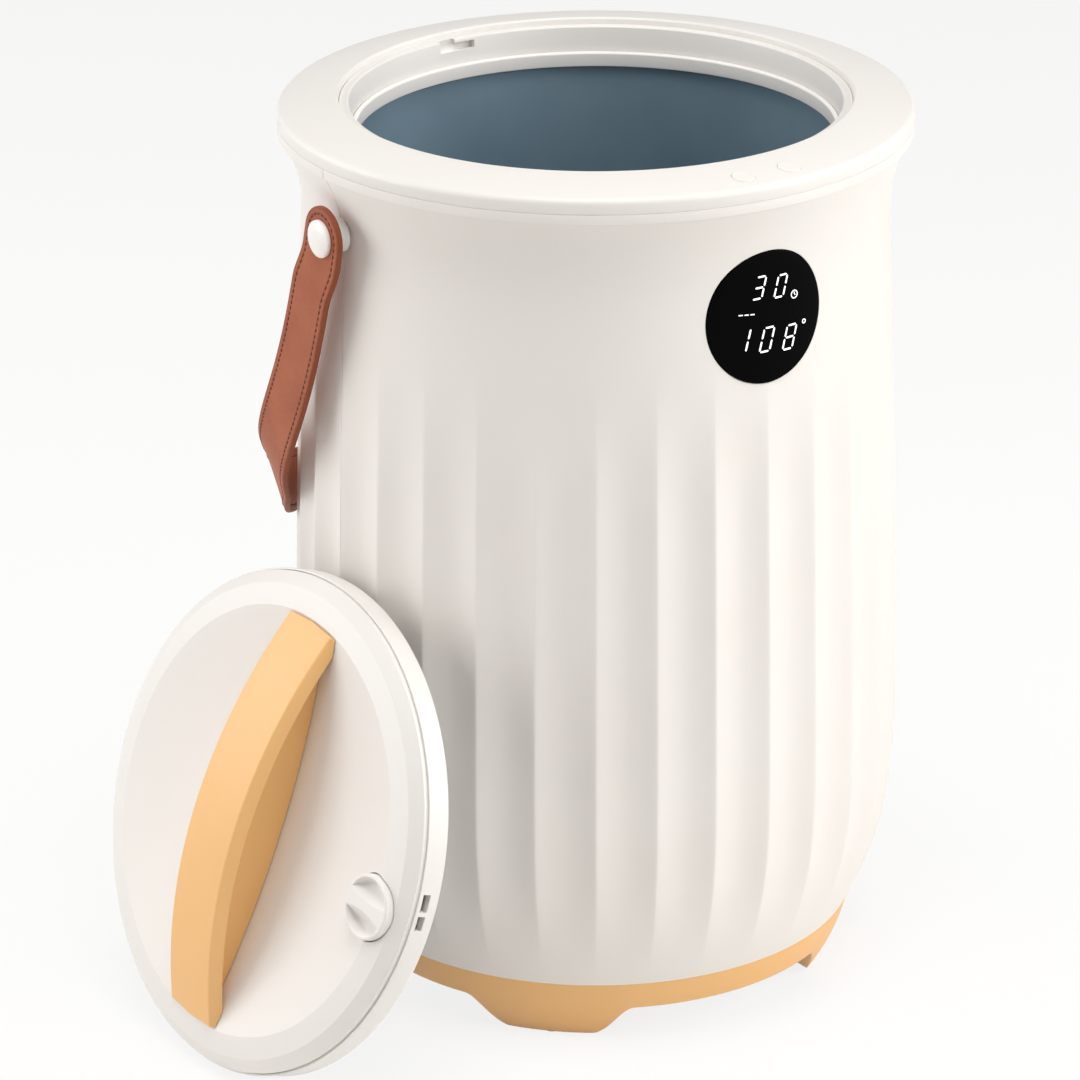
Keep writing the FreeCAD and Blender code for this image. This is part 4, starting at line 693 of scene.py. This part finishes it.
lip_outline = rounded_outline([
    (LIP_RADIUS, LIP_FOOT), (LIP_RADIUS, LIP_TOP),
    (THROAT_RADIUS - CLOSE_GAP, THROAT_TOP - CLOSE_GAP), (THROAT_RADIUS - CLOSE_GAP, COLLAR_FOOT),
    (LIP_FLANGE_RADIUS, COLLAR_FOOT), (LIP_FLANGE_RADIUS, LIP_FLANGE_FOOT),
    (LIP_SKIRT_RADIUS, LIP_FLANGE_FOOT), (LIP_SKIRT_RADIUS, LIP_FOOT)],
    [LIP_FOOT_ROUND, LIP_ROUND, THROAT_ROUND, 0, 0, 0, 0, LIP_FOOT_ROUND])
stand(skin("liner_lip_skin", [(turned(lip_outline, 240), True, True)]), trim_abs, "bucket",
      ["liner_lip"])


# Display window and its figures

def window_point(x, v, proud):
    """Point of the window at x across and v above its middle, lifted off the shell's profile."""
    height = LENS_HEIGHT + v
    radius = ridge_radius(height) + proud
    return joined(x, -np.sqrt(radius ** 2 - x ** 2), height)


def window(front_rings=19, back_rings=10, steps=5):
    """Disc curved with the shell: rings out to a rounded edge, then a side wall and a back."""
    edge = rounded_outline([(0, LENS_PROUD), (LENS_RADIUS, LENS_PROUD), (LENS_RADIUS, -LENS_WALL),
                            (0, -LENS_WALL)], [0, LENS_ROUND, 0, 0], steps)
    out = np.linspace(0, LENS_RADIUS - LENS_FACE_INSET, front_rings + 1)[1:]
    back = np.linspace(LENS_RADIUS, 0, back_rings + 2)[1:-1]
    outline = np.concatenate([edge[:1], joined(out, LENS_PROUD), edge[steps:3 * steps],
                              joined(back, -LENS_WALL), edge[-1:]])
    angle = np.linspace(0, 2 * math.pi, 128, endpoint=False)[:, None]
    return window_point(outline[:, 0] * np.cos(angle), outline[:, 0] * np.sin(angle), outline[:, 1])


stand(skin("display_window", [(window(), True, True)]), black_glass, "bucket",
      ["display_lens"])

SEGMENTS = {"a": ((0, 1), (1, 1)), "b": ((1, 1), (1, 0.5)), "c": ((1, 0.5), (1, 0)),
            "d": ((0, 0), (1, 0)), "e": ((0, 0.5), (0, 0)), "f": ((0, 1), (0, 0.5)),
            "g": ((0, 0.5), (1, 0.5))}
FIGURES = {"0": "abcdef", "1": "bc", "3": "abcdg", "8": "abcdefg"}
FIGURE_SLANT = 0.286
FIGURE_CLIMB = 0.11
FIGURE_STROKE = 0.85
FIGURE_CLEARANCE_SHARE = 0.55
FIGURE_LIFTS = (0.09, 0.02)
MARK_STROKE = 0.5
# Text, right edge, foot, width, height and pitch of the time and the temperature
TIME_FIGURES = ("30", 8.7, 8.2, 5.2, 10.1, 12.1)
HEAT_FIGURES = ("108", 13.6, -17.6, 5.6, 11.0, 13.0)
CLOCK_PLACE = (15.4, 7.6)
CLOCK_RADIUS = 1.8
CLOCK_HANDS = ((15.4, 8.8), (16.2, 7.2))
DEGREE_PLACE = (21.2, -6.6)
DEGREE_RADIUS = 0.9
DASHES = (((-15.8, 3.3), (-13.4, 3.1)), ((-12.7, 3.0), (-10.3, 2.8)), ((-9.6, 2.7), (-7.2, 2.5)))


def bar(start, end, width):
    """Flat lens-shaped bar between two places on the window: six corners, front and back."""
    start, end = np.array(start, float), np.array(end, float)
    along = unit(end - start)
    side = np.array([-along[1], along[0]]) * width / 2
    tip = along * width / 2
    ring = np.array([start, start + tip + side, end - tip + side, end, end - tip - side,
                     start + tip - side])
    front, back = (window_point(ring[:, 0], ring[:, 1], LENS_PROUD + lift)
                   for lift in FIGURE_LIFTS)
    middles = [np.repeat(loop.mean(0, keepdims=True), 6, 0) for loop in (front, back)]
    return np.stack([middles[0], front, back, middles[1]])


def figures(text, right, foot, width, height, pitch):
    """Slanted seven-segment figures, the last one's foot at a place on the window and each one to
    its left a little higher."""
    bars = []
    for at, sign in enumerate(reversed(text)):
        left = right - width - at * pitch
        for segment in FIGURES[sign]:
            start, end = (np.array([left + across * width + FIGURE_SLANT * up * height,
                                    foot + FIGURE_CLIMB * at * pitch + up * height])
                          for across, up in SEGMENTS[segment])
            inward = unit(end - start) * FIGURE_STROKE * FIGURE_CLEARANCE_SHARE
            bars.append(bar(start + inward, end - inward, FIGURE_STROKE))
    return bars


def ringlet(x, v, radius, stroke):
    """Small flat circle on the window, drawn as a closed strip."""
    angle = np.linspace(0, 2 * math.pi, 24, endpoint=False)[:, None]
    reach = radius + np.array([-0.5, 0.5, 0.5, -0.5]) * stroke
    lift = LENS_PROUD + np.repeat(FIGURE_LIFTS, 2)
    return window_point(x + reach * np.cos(angle), v + reach * np.sin(angle), lift)


figure_bars = figures(*TIME_FIGURES) + figures(*HEAT_FIGURES)
# Plain marks: a small clock by the time, a degree ring by the heat, and three dashes between them
figure_bars += [bar(CLOCK_PLACE, hand, MARK_STROKE) for hand in CLOCK_HANDS]
figure_bars += [bar(start, end, MARK_STROKE) for start, end in DASHES]
figure_rings = [ringlet(*CLOCK_PLACE, CLOCK_RADIUS, MARK_STROKE),
                ringlet(*DEGREE_PLACE, DEGREE_RADIUS, MARK_STROKE)]
figure_patches = [(grid, False, True) for grid in figure_bars]
figure_patches += [(grid, True, True) for grid in figure_rings]
stand(skin("display_figures", figure_patches), white_segment, "bucket")


# Push buttons

def push_button(name, azimuth):
    """Turned cap with a rounded top and a fine ring pressed into it."""
    groove, fall = BUTTON_GROOVE_RADIUS, BUTTON_GROOVE_DEPTH
    outline = rounded_outline([(0, BUTTON_PROUD), (groove - fall, BUTTON_PROUD),
                               (groove, BUTTON_PROUD - fall), (groove + fall, BUTTON_PROUD),
                               (BUTTON_RADIUS, BUTTON_PROUD), (BUTTON_RADIUS, BUTTON_FOOT),
                               (0, BUTTON_FOOT)], [0, 0, 0, 0, BUTTON_ROUND, 0, 0], 4)
    mesh = skin(name + "_cap", [(on_ring(turned(outline, 72), azimuth), True, True)])
    stand(mesh, button_abs, name + "_push", [name + "_button"])


push_button("power", -BUTTON_AZIMUTH)
push_button("timer", BUTTON_AZIMUTH)


# Base ring with its four feet

def flank_radius(height):
    """Outside of the base ring: an arc through its top edge and its sole."""
    top = np.array([SHELL_FOOT_RADIUS, BASE_TOP])
    sole = np.array([FOOT_RADIUS, SOLE])
    chord = sole - top
    span = np.linalg.norm(chord)
    left = np.array([-chord[1], chord[0]]) / span
    centre = (top + sole) / 2 - left * math.sqrt(FLANK_BEND ** 2 - span ** 2 / 4)
    return centre[0] + np.sqrt(FLANK_BEND ** 2 - (height - centre[1]) ** 2)


def arch_level(place):
    """Height of an arch's edge at a distance from its middle: an S-shaped Bezier shoulder."""
    way = np.linspace(0, 1, 200)
    out = (ARCH_FOOT_HALF * (1 - way) ** 3 + 3 * (ARCH_FOOT_HALF - ARCH_BEND) * (1 - way) ** 2 * way
           + 3 * (ARCH_TOP_HALF + ARCH_BEND) * (1 - way) * way ** 2 + ARCH_TOP_HALF * way ** 3)
    return np.interp(np.abs(place), out[::-1], (ARCH_HEIGHT * way ** 2 * (3 - 2 * way))[::-1])


def base_section(angle, flank_steps):
    """Corners across the base ring at each angle: flank, cut edge, underside, shelf, inside."""
    def cut(radius):
        level = np.maximum(arch_level(radius * np.sin(angle)), arch_level(radius * np.cos(angle)))
        return np.maximum(level, SOLE)

    edge = np.full_like(angle, SOLE)
    for _ in range(40):
        edge = cut(flank_radius(edge))
    trial = np.linspace(FOOT_INNER_RADIUS, BASE_INNER_RADIUS, 120)
    shelf = np.linspace(BASE_SHELF_LOW, BASE_SHELF_HIGH, len(trial))
    held = cut(trial[:, None] + 0 * angle) < shelf[:, None]
    first = np.where(held.any(0), held.argmax(0), len(trial) - 1)
    inner = trial[first]
    low = cut(inner)
    down = np.linspace(0, 1, flank_steps)
    flank_height = BASE_TOP + (edge[:, None] - BASE_TOP) * down
    flank = joined(flank_radius(flank_height), flank_height)
    under_radius = flank[:, -1:, 0] + (inner[:, None] - flank[:, -1:, 0]) * np.linspace(0, 1, 5)[1:]
    under = joined(under_radius, joined(*(cut(column) for column in under_radius.T)))
    shoulder = joined(inner, np.maximum(shelf[first], low))
    corner = joined(BASE_INNER_RADIUS, np.maximum(BASE_SHELF_HIGH, low))
    top = joined(BASE_INNER_RADIUS + 0 * angle, BASE_TOP)
    return np.concatenate([flank, under, np.stack([shoulder, corner, top], 1)], 1)


def base_ring(flank_steps=10):
    """Section that changes round the ring, its cut edge rounded, sampled closely on the arches'
    shoulders."""
    quarter = np.concatenate([np.linspace(0, ARCH_SHOULDER_ANGLE, 14),
                              np.linspace(ARCH_SHOULDER_ANGLE + 0.4, 45, 90)])
    eighth = np.concatenate([quarter, 90 - quarter[-2::-1]])[:-1]
    angle = np.radians(np.concatenate([eighth + 90 * step for step in range(4)]))
    corners = base_section(angle, flank_steps)
    radii = np.zeros(corners.shape[1])
    radii[flank_steps - 1] = BASE_EDGE_ROUND
    outline = rounded_outline(corners, radii, 6)
    return around(outline[..., 0], angle[:, None], outline[..., 1])


stand(skin("base_ring_skin", [(base_ring(), True, True)]), peach_pp, "bucket",
      ["base_ring"], sharp=38)


# Carry strap

def strap_line():
    """Centre line from rivet to rivet and the frame along it, at even steps of length.

    The line is a cubic Bezier in (arc behind the rivet, drop) wrapped round the bucket: a flat leg
    eased out past the rim, bent back to a round behind the body. The frame is along, the face
    that looks outwards, and across.
    """
    way = np.linspace(0, 1, 700)
    arc_end = math.pi / 2 * STRAP_BACK_RADIUS
    lean = math.radians(STRAP_LEAN)
    reach = STRAP_REACH_SHARE * STRAP_DROP
    weights = [(1 - way) ** 3, 3 * (1 - way) ** 2 * way, 3 * (1 - way) * way ** 2, way ** 3]
    poles = [(0, 0), (reach * math.sin(lean), -reach * math.cos(lean)),
             (STRAP_SWEEP_SHARE * arc_end, -STRAP_DROP), (arc_end, -STRAP_DROP)]
    arc, drop = (sum(weight * pole[axis] for weight, pole in zip(weights, poles))
                 for axis in (0, 1))
    leg = eased((-drop - STRAP_FLAT_DROP) / (STRAP_LEG_DROP - STRAP_FLAT_DROP))
    bend = eased((arc - STRAP_BEND_ARC) / (STRAP_BENT_ARC - STRAP_BEND_ARC))
    angle = arc / STRAP_BACK_RADIUS
    flat = STRAP_RIVET_RADIUS + leg * (STRAP_LEG_RADIUS - STRAP_RIVET_RADIUS)
    flat = flat / np.cos(np.minimum(arc, STRAP_BENT_ARC) / STRAP_BACK_RADIUS)
    bow = eased((arc - STRAP_BENT_ARC) / (arc_end - STRAP_BENT_ARC))
    hug = STRAP_HUG_RADIUS + bow * (STRAP_BACK_RADIUS - STRAP_HUG_RADIUS)
    radius = flat * (1 - bend) + hug * bend
    turn = eased((arc - STRAP_TWIST_ARC) / (STRAP_TURN_ARC - STRAP_TWIST_ARC))
    x, y = radius * np.cos(angle), radius * np.sin(angle)
    right = joined(x, y, HINGE_HEIGHT + drop)
    outward = joined(x, y * turn, 0)
    mirror = np.array([-1, 1, 1])
    line = np.concatenate([right * mirror, right[-2::-1]])
    outward = np.concatenate([outward * mirror, outward[-2::-1]])
    length = run_length(line)
    even = np.linspace(0, length[-1], 900)
    line, outward = sampled(even, length, line), sampled(even, length, outward)
    along = unit(np.gradient(line, even, axis=0))
    face = unit(outward - along * np.sum(outward * along, axis=1, keepdims=True))
    return even, line, along, face, np.cross(along, face)


STRAP = strap_line()
STRAP_LENGTH = STRAP[0][-1]


def on_strap(run, side, lift):
    """Places on the strap: run along it (past its ends along the tangent), side across, lift off
    its middle."""
    even, *fields = STRAP
    held = np.clip(run, 0, STRAP_LENGTH)
    spot, ahead, out, beside = (sampled(held, even, field) for field in fields)
    return spot + ahead * (run - held)[..., None] + beside * side[..., None] + out * lift[..., None]


def strap_rim(inset, count=260, end_steps=14):
    """Closed outline of the flat strap moved in from its edge: two long sides and two half-round
    ends, as (run, side)."""
    half = STRAP_WIDTH / 2 - inset
    turn = np.linspace(0, math.pi, 2 * end_steps + 1)[1:-1]
    run = np.linspace(0, STRAP_LENGTH, count)
    far = joined(STRAP_LENGTH + half * np.sin(turn), half * np.cos(turn))
    near = joined(-half * np.sin(turn), -half * np.cos(turn))
    return np.concatenate([joined(run, half), far, joined(run[::-1], -half), near])


def strap_face(inset, lift, count=260, end_steps=14, columns=17):
    """Flat side of the strap: rows across it between paired points of its outline, down to the tip
    of each round end. Also each point's distance from the strap's edge."""
    half = STRAP_WIDTH / 2 - inset
    turn = np.linspace(0, math.pi / 2, end_steps + 1)[1:]
    run = np.concatenate([-half * np.sin(turn[::-1]), np.linspace(0, STRAP_LENGTH, count),
                          STRAP_LENGTH + half * np.sin(turn)])[:, None]
    width = np.concatenate([half * np.cos(turn[::-1]), np.full(count, half), half * np.cos(turn)])
    side = width[:, None] * np.linspace(1, -1, columns)
    past = np.maximum(np.maximum(-run, run - STRAP_LENGTH), 0)
    return on_strap(run + 0 * side, side, lift + 0 * side), half - np.hypot(past, side) + inset


edge_turn = np.linspace(0, math.pi / 2, 5)
edge_inset = STRAP_ROUND * (1 - np.sin(edge_turn))
edge_inset = np.concatenate([edge_inset, edge_inset[::-1]])
edge_lift = (STRAP_WALL / 2 - STRAP_ROUND) + STRAP_ROUND * np.cos(edge_turn)
edge_lift = np.concatenate([edge_lift, -edge_lift[::-1]])
edge_rings = [strap_rim(inset) for inset in edge_inset]
edge_grid = np.stack([on_strap(ring[:, 0], ring[:, 1], np.full(len(ring), lift))
                      for ring, lift in zip(edge_rings, edge_lift)])
edge_marks = np.repeat(np.minimum(edge_inset, BURNISH_EDGE), len(edge_rings[0]))
top_grid, top_marks = strap_face(STRAP_ROUND, STRAP_WALL / 2)
under_grid, under_marks = strap_face(STRAP_ROUND, -STRAP_WALL / 2)
strap_marks = np.concatenate([edge_marks, top_marks.ravel(), under_marks.ravel()])
strap_mesh = skin("strap_leather_band",
                  [(edge_grid, False, True), (top_grid, False, False), (under_grid, False, False)],
                  marks={"inset": strap_marks})
stand(strap_mesh, cowhide, "strap", ["carry_strap"], sharp=60)


def stitches():
    """Thread along both faces, in from the edge: an ellipsoid for each stitch, its long axis along
    the line of the seam."""
    rim = strap_rim(STITCH_INSET, 600, 30)
    closed = np.concatenate([rim, rim[:1]])
    length = run_length(closed)
    count = int(length[-1] / STITCH_PITCH)
    middles = np.arange(count) * length[-1] / count
    polar = np.linspace(0, math.pi, 6)[:, None]
    turn = np.linspace(0, 2 * math.pi, 7)[:-1]
    side = STITCH_HALF_WIDTH * np.sin(polar) * np.cos(turn)
    rise = STITCH_HALF_RISE * np.sin(polar) * np.sin(turn)
    at = middles[:, None, None] - STITCH_HALF_LENGTH * np.cos(polar) + 0 * turn

    def seam(shift, axis):
        return np.interp(at + shift, length, closed[:, axis], period=length[-1])

    ahead = [seam(0.3, axis) - seam(-0.3, axis) for axis in (0, 1)]
    size = np.maximum(np.hypot(*ahead), 1e-6)
    run = seam(0, 0) - ahead[1] / size * side
    across = seam(0, 1) + ahead[0] / size * side
    lift = STRAP_WALL / 2 + STITCH_PROUD
    return [*on_strap(run, across, lift + rise), *on_strap(run, across, rise - lift)]


stand(skin("strap_stitches", [(grid, False, True) for grid in stitches()]), thread, "strap",
      sharp=80)


def rivets():
    """Two caps with a softly domed face and their shanks, turned about the rivet axis."""
    seat = STRAP_RIVET_RADIUS + STRAP_WALL / 2 + RIVET_GAP
    outline = rounded_outline([
        (0, seat + RIVET_CROWN), (RIVET_DOME_RADIUS, seat + RIVET_DOME_RISE),
        (RIVET_CAP_RADIUS, seat + RIVET_CAP_EDGE), (RIVET_CAP_RADIUS, seat),
        (RIVET_SHANK_RADIUS, seat), (RIVET_SHANK_RADIUS, RIVET_SHANK_END), (0, RIVET_SHANK_END)],
        [0, *RIVET_ROUNDS, 0, 0, 0], 7)
    x, y, z = np.moveaxis(turned(outline, 72), -1, 0)
    return [joined(side * z, y, x + HINGE_HEIGHT) for side in (1, -1)]


stand(skin("rivet_caps", [(grid, True, True) for grid in rivets()]), rivet_acetal, "bucket",
      ["strap_rivets"])


# Lid

def dish_level(radius):
    """Height of the dished face at a radius: a sphere through its edge and its middle."""
    bend = (DISH_RADIUS ** 2 + DISH_DEPTH ** 2) / (2 * DISH_DEPTH)
    return DISH_HEIGHT - DISH_DEPTH + bend - np.sqrt(bend ** 2 - radius ** 2)


base_outline = rounded_outline([
    (0, PLUG_DEPTH), (PLUG_RADIUS - LID_WALL, PLUG_DEPTH), (PLUG_RADIUS - LID_WALL, 0),
    (PLUG_RADIUS, 0), (PLUG_RADIUS, PLUG_DEPTH), (LID_RADIUS, PLUG_DEPTH),
    (LID_RADIUS, FLANGE_TOP + SEAM_RISE), (COVER_RADIUS + SEAM_WIDTH, FLANGE_TOP + SEAM_RISE),
    (COVER_RADIUS + SEAM_WIDTH, FLANGE_TOP - SEAM_DEPTH),
    (COVER_RADIUS - LID_WALL, FLANGE_TOP - SEAM_DEPTH),
    (COVER_RADIUS - LID_WALL, PLUG_DEPTH + LID_WALL), (0, PLUG_DEPTH + LID_WALL)],
    [0, 0, *PLUG_ROUNDS, 0, *FLANGE_ROUNDS, 0, 0, 0, 0, 0])
lid_slots = []
for width, side in LID_SLOTS:
    block = box(LID_SLOT_LENGTH, width, LID_SLOT_HEIGHT)
    block += [-LID_SLOT_DEPTH, side, LID_SLOT_FOOT]
    block = on_lid(facing(block, LID_SLOT_AZIMUTH, LID_RADIUS))
    lid_slots.append(skin("lid_slot", [(block, False, True)]))
lugs = [(on_lid(facing(box(*LUG_SIZE), azimuth, LUG_START_RADIUS, LUG_FOOT)), False, True)
        for azimuth in (0, 180)]
base_mesh = skin("lid_base_skin", [(on_lid(turned(base_outline, 300)), True, True)])
stand(hollowed(base_mesh, lid_slots), trim_abs, "lid", ["lid_base"])
stand(skin("lid_lugs", lugs), trim_abs, "lid")

DISH_STEPS = 30
dish_way = np.linspace(DISH_RADIUS, 0, DISH_STEPS)
dish_face = joined(dish_way, dish_level(dish_way))
cover_outline = rounded_outline(np.concatenate([
    [(COVER_RADIUS - LID_WALL, FLANGE_TOP - SEAM_DEPTH), (COVER_RADIUS, FLANGE_TOP - SEAM_DEPTH),
     (COVER_RADIUS, BAND_TOP), (BORDER_RADIUS, BORDER_HEIGHT)],
    dish_face, dish_face[::-1] - [0, LID_WALL],
    [(BORDER_RADIUS, BORDER_HEIGHT - LID_WALL), (COVER_RADIUS - LID_WALL, BAND_TOP - CLOSE_GAP)]]),
    [0, 0, *COVER_ROUNDS] + [0] * (2 * DISH_STEPS + 1), 6)
knob_middle = [KNOB_CIRCLE, 0, 0]
knob_cut = on_lid(tube(KNOB_RADIUS + KNOB_GAP, 5, 40) + knob_middle)
knob_bore = skin("knob_bore", [(knob_cut, True, False)])
cover_mesh = skin("lid_cover_skin", [(on_lid(turned(cover_outline, 300)), True, True)])
stand(hollowed(cover_mesh, [knob_bore]), trim_abs, "lid", ["lid_cover"])


def handle():
    """Arched cap on a narrower web: the outline across is carried along the arch, each of its
    points as far as the round end lets it go, and both ends are closed."""
    rise = HANDLE_CROWN - HANDLE_END_HEIGHT
    bend = (HANDLE_END_RADIUS ** 2 + rise ** 2) / (2 * rise)
    side = HANDLE_HALF_WIDTH + HANDLE_BEVEL
    right = [(HANDLE_HALF_WIDTH, 0), (side, -HANDLE_BEVEL_DROP),
             (HANDLE_WEB_HALF, -HANDLE_BEVEL_DROP), (HANDLE_WEB_HALF, -HANDLE_WEB_DROP)]
    left = [(-x, z) for x, z in reversed(right)]
    rounds = [HANDLE_TOP_ROUND, HANDLE_SIDE_ROUND, HANDLE_WEB_ROUND]
    outline = rounded_outline([(0, 0)] + right + [(0, -HANDLE_WEB_DROP)] + left,
                              [0] + rounds + [0, 0, 0] + rounds[::-1], 6)
    x, drop = outline[:, 0], outline[:, 1]
    way = np.sin(np.linspace(-math.pi / 2, math.pi / 2, 90))[:, None]
    along = way * np.sqrt(HANDLE_END_RADIUS ** 2 - x ** 2)
    top = HANDLE_CROWN - bend + np.sqrt(bend ** 2 - along ** 2)
    floor = dish_level(np.hypot(x, along)) + HANDLE_GAP
    return joined(x, along, np.maximum(top + drop, floor))


stand(skin("lid_handle_skin", [(on_lid(handle()), False, True)], capped=True), peach_pp, "lid",
      ["lid_handle"], sharp=30)


def knob():
    """Round knob as a height over (radius, angle): a half-moon pocket on each side of a waisted
    grip bar, about as deep as the lesser of a steep fall from the rim and a gentle one from the
    bar, levelled out by tanh; then a rounded edge and a skirt."""
    radius = np.concatenate([np.linspace(0, KNOB_FINE_RADIUS, 40),
                             np.linspace(KNOB_FINE_RADIUS + 0.2, KNOB_RADIUS - KNOB_ROUND, 26)])
    angle = np.linspace(0, 2 * math.pi, 180, endpoint=False)[:, None]
    x, y = radius * np.cos(angle), radius * np.sin(angle)
    lean = math.radians(KNOB_BAR_ANGLE)
    along = x * math.cos(lean) + y * math.sin(lean)
    beside = y * math.cos(lean) - x * math.sin(lean)
    bar_half = KNOB_BAR_HALF + KNOB_BAR_FLARE * (along / KNOB_BAR_REACH) ** 2
    from_rim = KNOB_RIM_SLOPE * np.maximum(KNOB_POCKET_RADIUS - radius, 0)
    from_bar = KNOB_BAR_SLOPE * np.maximum(np.abs(beside) - bar_half, 0)
    depth = from_rim * from_bar / np.maximum((from_rim ** 4 + from_bar ** 4) ** 0.25, 1e-6)
    depth = KNOB_POCKET_DEPTH * np.tanh(depth / KNOB_POCKET_DEPTH)
    turn = np.linspace(0, math.pi / 2, 6)
    edge = joined(KNOB_RADIUS - KNOB_ROUND * (1 - np.sin(turn)),
                  KNOB_TOP - KNOB_ROUND * (1 - np.cos(turn)))
    ceiling = KNOB_FOOT + KNOB_HOLLOW
    edge = np.concatenate([edge, [(KNOB_RADIUS, KNOB_FOOT), (KNOB_RADIUS - KNOB_WALL, KNOB_FOOT),
                                  (KNOB_RADIUS - KNOB_WALL, ceiling), (0, ceiling)]])
    reach = np.concatenate([radius, edge[:, 0]])
    height = np.concatenate([KNOB_TOP - depth, np.repeat(edge[None, :, 1], len(angle), 0)], 1)
    return joined(reach * np.cos(angle), reach * np.sin(angle), height)


stand(skin("scent_knob_skin", [(on_lid(knob() + knob_middle), True, False)]), trim_abs, "knob",
      ["scent_knob"], sharp=50)


# Floor, light and camera. Places and sizes here are metres.

FLOOR_HALF = 8
FLOOR_GLOW_SHARE = 0.82
SKY_STRENGTH = 0.17
LAMP_AIM = (0, 0, 0.22)


def backdrop():
    """Pale floor: white to the camera and to reflections, and a white that takes shadow."""
    material = bpy.data.materials.new("pale_floor")
    material.use_nodes = True
    tree = material.node_tree
    tree.nodes.remove(tree.nodes["Principled BSDF"])
    matt = add(tree, "BsdfDiffuse", {"Color": "#F2F1EF"})
    glow = add(tree, "Emission", {"Color": "#FFFFFF", "Strength": 1.0})
    path = add(tree, "LightPath")
    seen = add(tree, "Math", {0: path.outputs["Is Camera Ray"], 1: path.outputs["Is Glossy Ray"]},
               operation="MAXIMUM")
    share = add(tree, "Math", {0: seen.outputs[0], 1: FLOOR_GLOW_SHARE}, operation="MULTIPLY")
    both = add(tree, "MixShader", {0: share.outputs[0], 1: matt.outputs[0], 2: glow.outputs[0]})
    tree.links.new(both.outputs[0], tree.nodes["Material Output"].inputs["Surface"])
    return material


floor_mesh = bpy.data.meshes.new("floor")
floor_mesh.from_pydata([(FLOOR_HALF * x, FLOOR_HALF * y, 0)
                        for x, y in ((-1, -1), (1, -1), (1, 1), (-1, 1))], [], [(0, 1, 2, 3)])
floor_mesh.materials.append(backdrop())
floor = placed("floor", floor_mesh)

world = bpy.data.worlds.new("studio")
bpy.context.scene.world = world
world.use_nodes = True
sky = world.node_tree
put(sky, sky.nodes["Background"], {"Color": "#FFFAF4", "Strength": SKY_STRENGTH})


def posed(name, data, place, axes):
    """New object in the scene at a place, its own axes given as columns."""
    made = placed(name, data)
    made.matrix_world = Matrix.Translation(place) @ Matrix(axes.tolist()).to_4x4()
    return made


def softbox(name, place, size, power):
    """Square white area lamp at a place, turned towards the middle of the object."""
    lamp = bpy.data.lights.new(name, "AREA")
    lamp.size = size
    lamp.energy = power
    back = unit(np.array(place) - np.array(LAMP_AIM))
    right = unit(np.cross((0, 0, 1), back))
    posed(name, lamp, place, np.stack([right, np.cross(back, right), back], 1))


# Two softboxes beside the object, square to the view, rake the flutes from both sides, and a third
# behind on the left brings out the edge there; the one overhead lights the ring and the mouth, and
# a weak one in front on the right fills the middle.
softbox("left_softbox", (-1.662, 1.113, 0.9), 1.4, 20)
softbox("edge_softbox", (-1.161, 1.86, 1.1), 1.5, 7)
softbox("right_softbox", (1.745, -1.168, 1.0), 1.3, 23)
softbox("top_softbox", (-0.334, -0.499, 2.4), 1.4, 33)
softbox("fill_softbox", (0.523, -1.915, 1.2), 1.3, 13)

PHOTO_SIZE = 1080
SENSOR_WIDTH = 36
FOCAL_PIXELS = 5300.0
CAMERA_DISTANCE = 2577.4
CAMERA_AIM_HEIGHT = 211.2
CAMERA_PITCH = 0.38473
CAMERA_YAW = -0.010535
CAMERA_AZIMUTH = -33.8


def camera():
    """Camera at its distance behind the aim, tipped down by the pitch and turned aside by the
    yaw."""
    data = bpy.data.cameras.new("camera")
    data.sensor_width = SENSOR_WIDTH
    data.lens = SENSOR_WIDTH * FOCAL_PIXELS / PHOTO_SIZE
    data.clip_end = 50
    tipped = spin("Z", CAMERA_AZIMUTH) @ spin("X", 90 - math.degrees(CAMERA_PITCH))
    place = np.array([0, 0, CAMERA_AIM_HEIGHT]) + CAMERA_DISTANCE * tipped[:, 2]
    axes = tipped @ spin("Y", -math.degrees(CAMERA_YAW))
    bpy.context.scene.camera = posed("camera", data, place * MM, axes)


camera()
bpy.context.scene.view_settings.view_transform = "Standard"
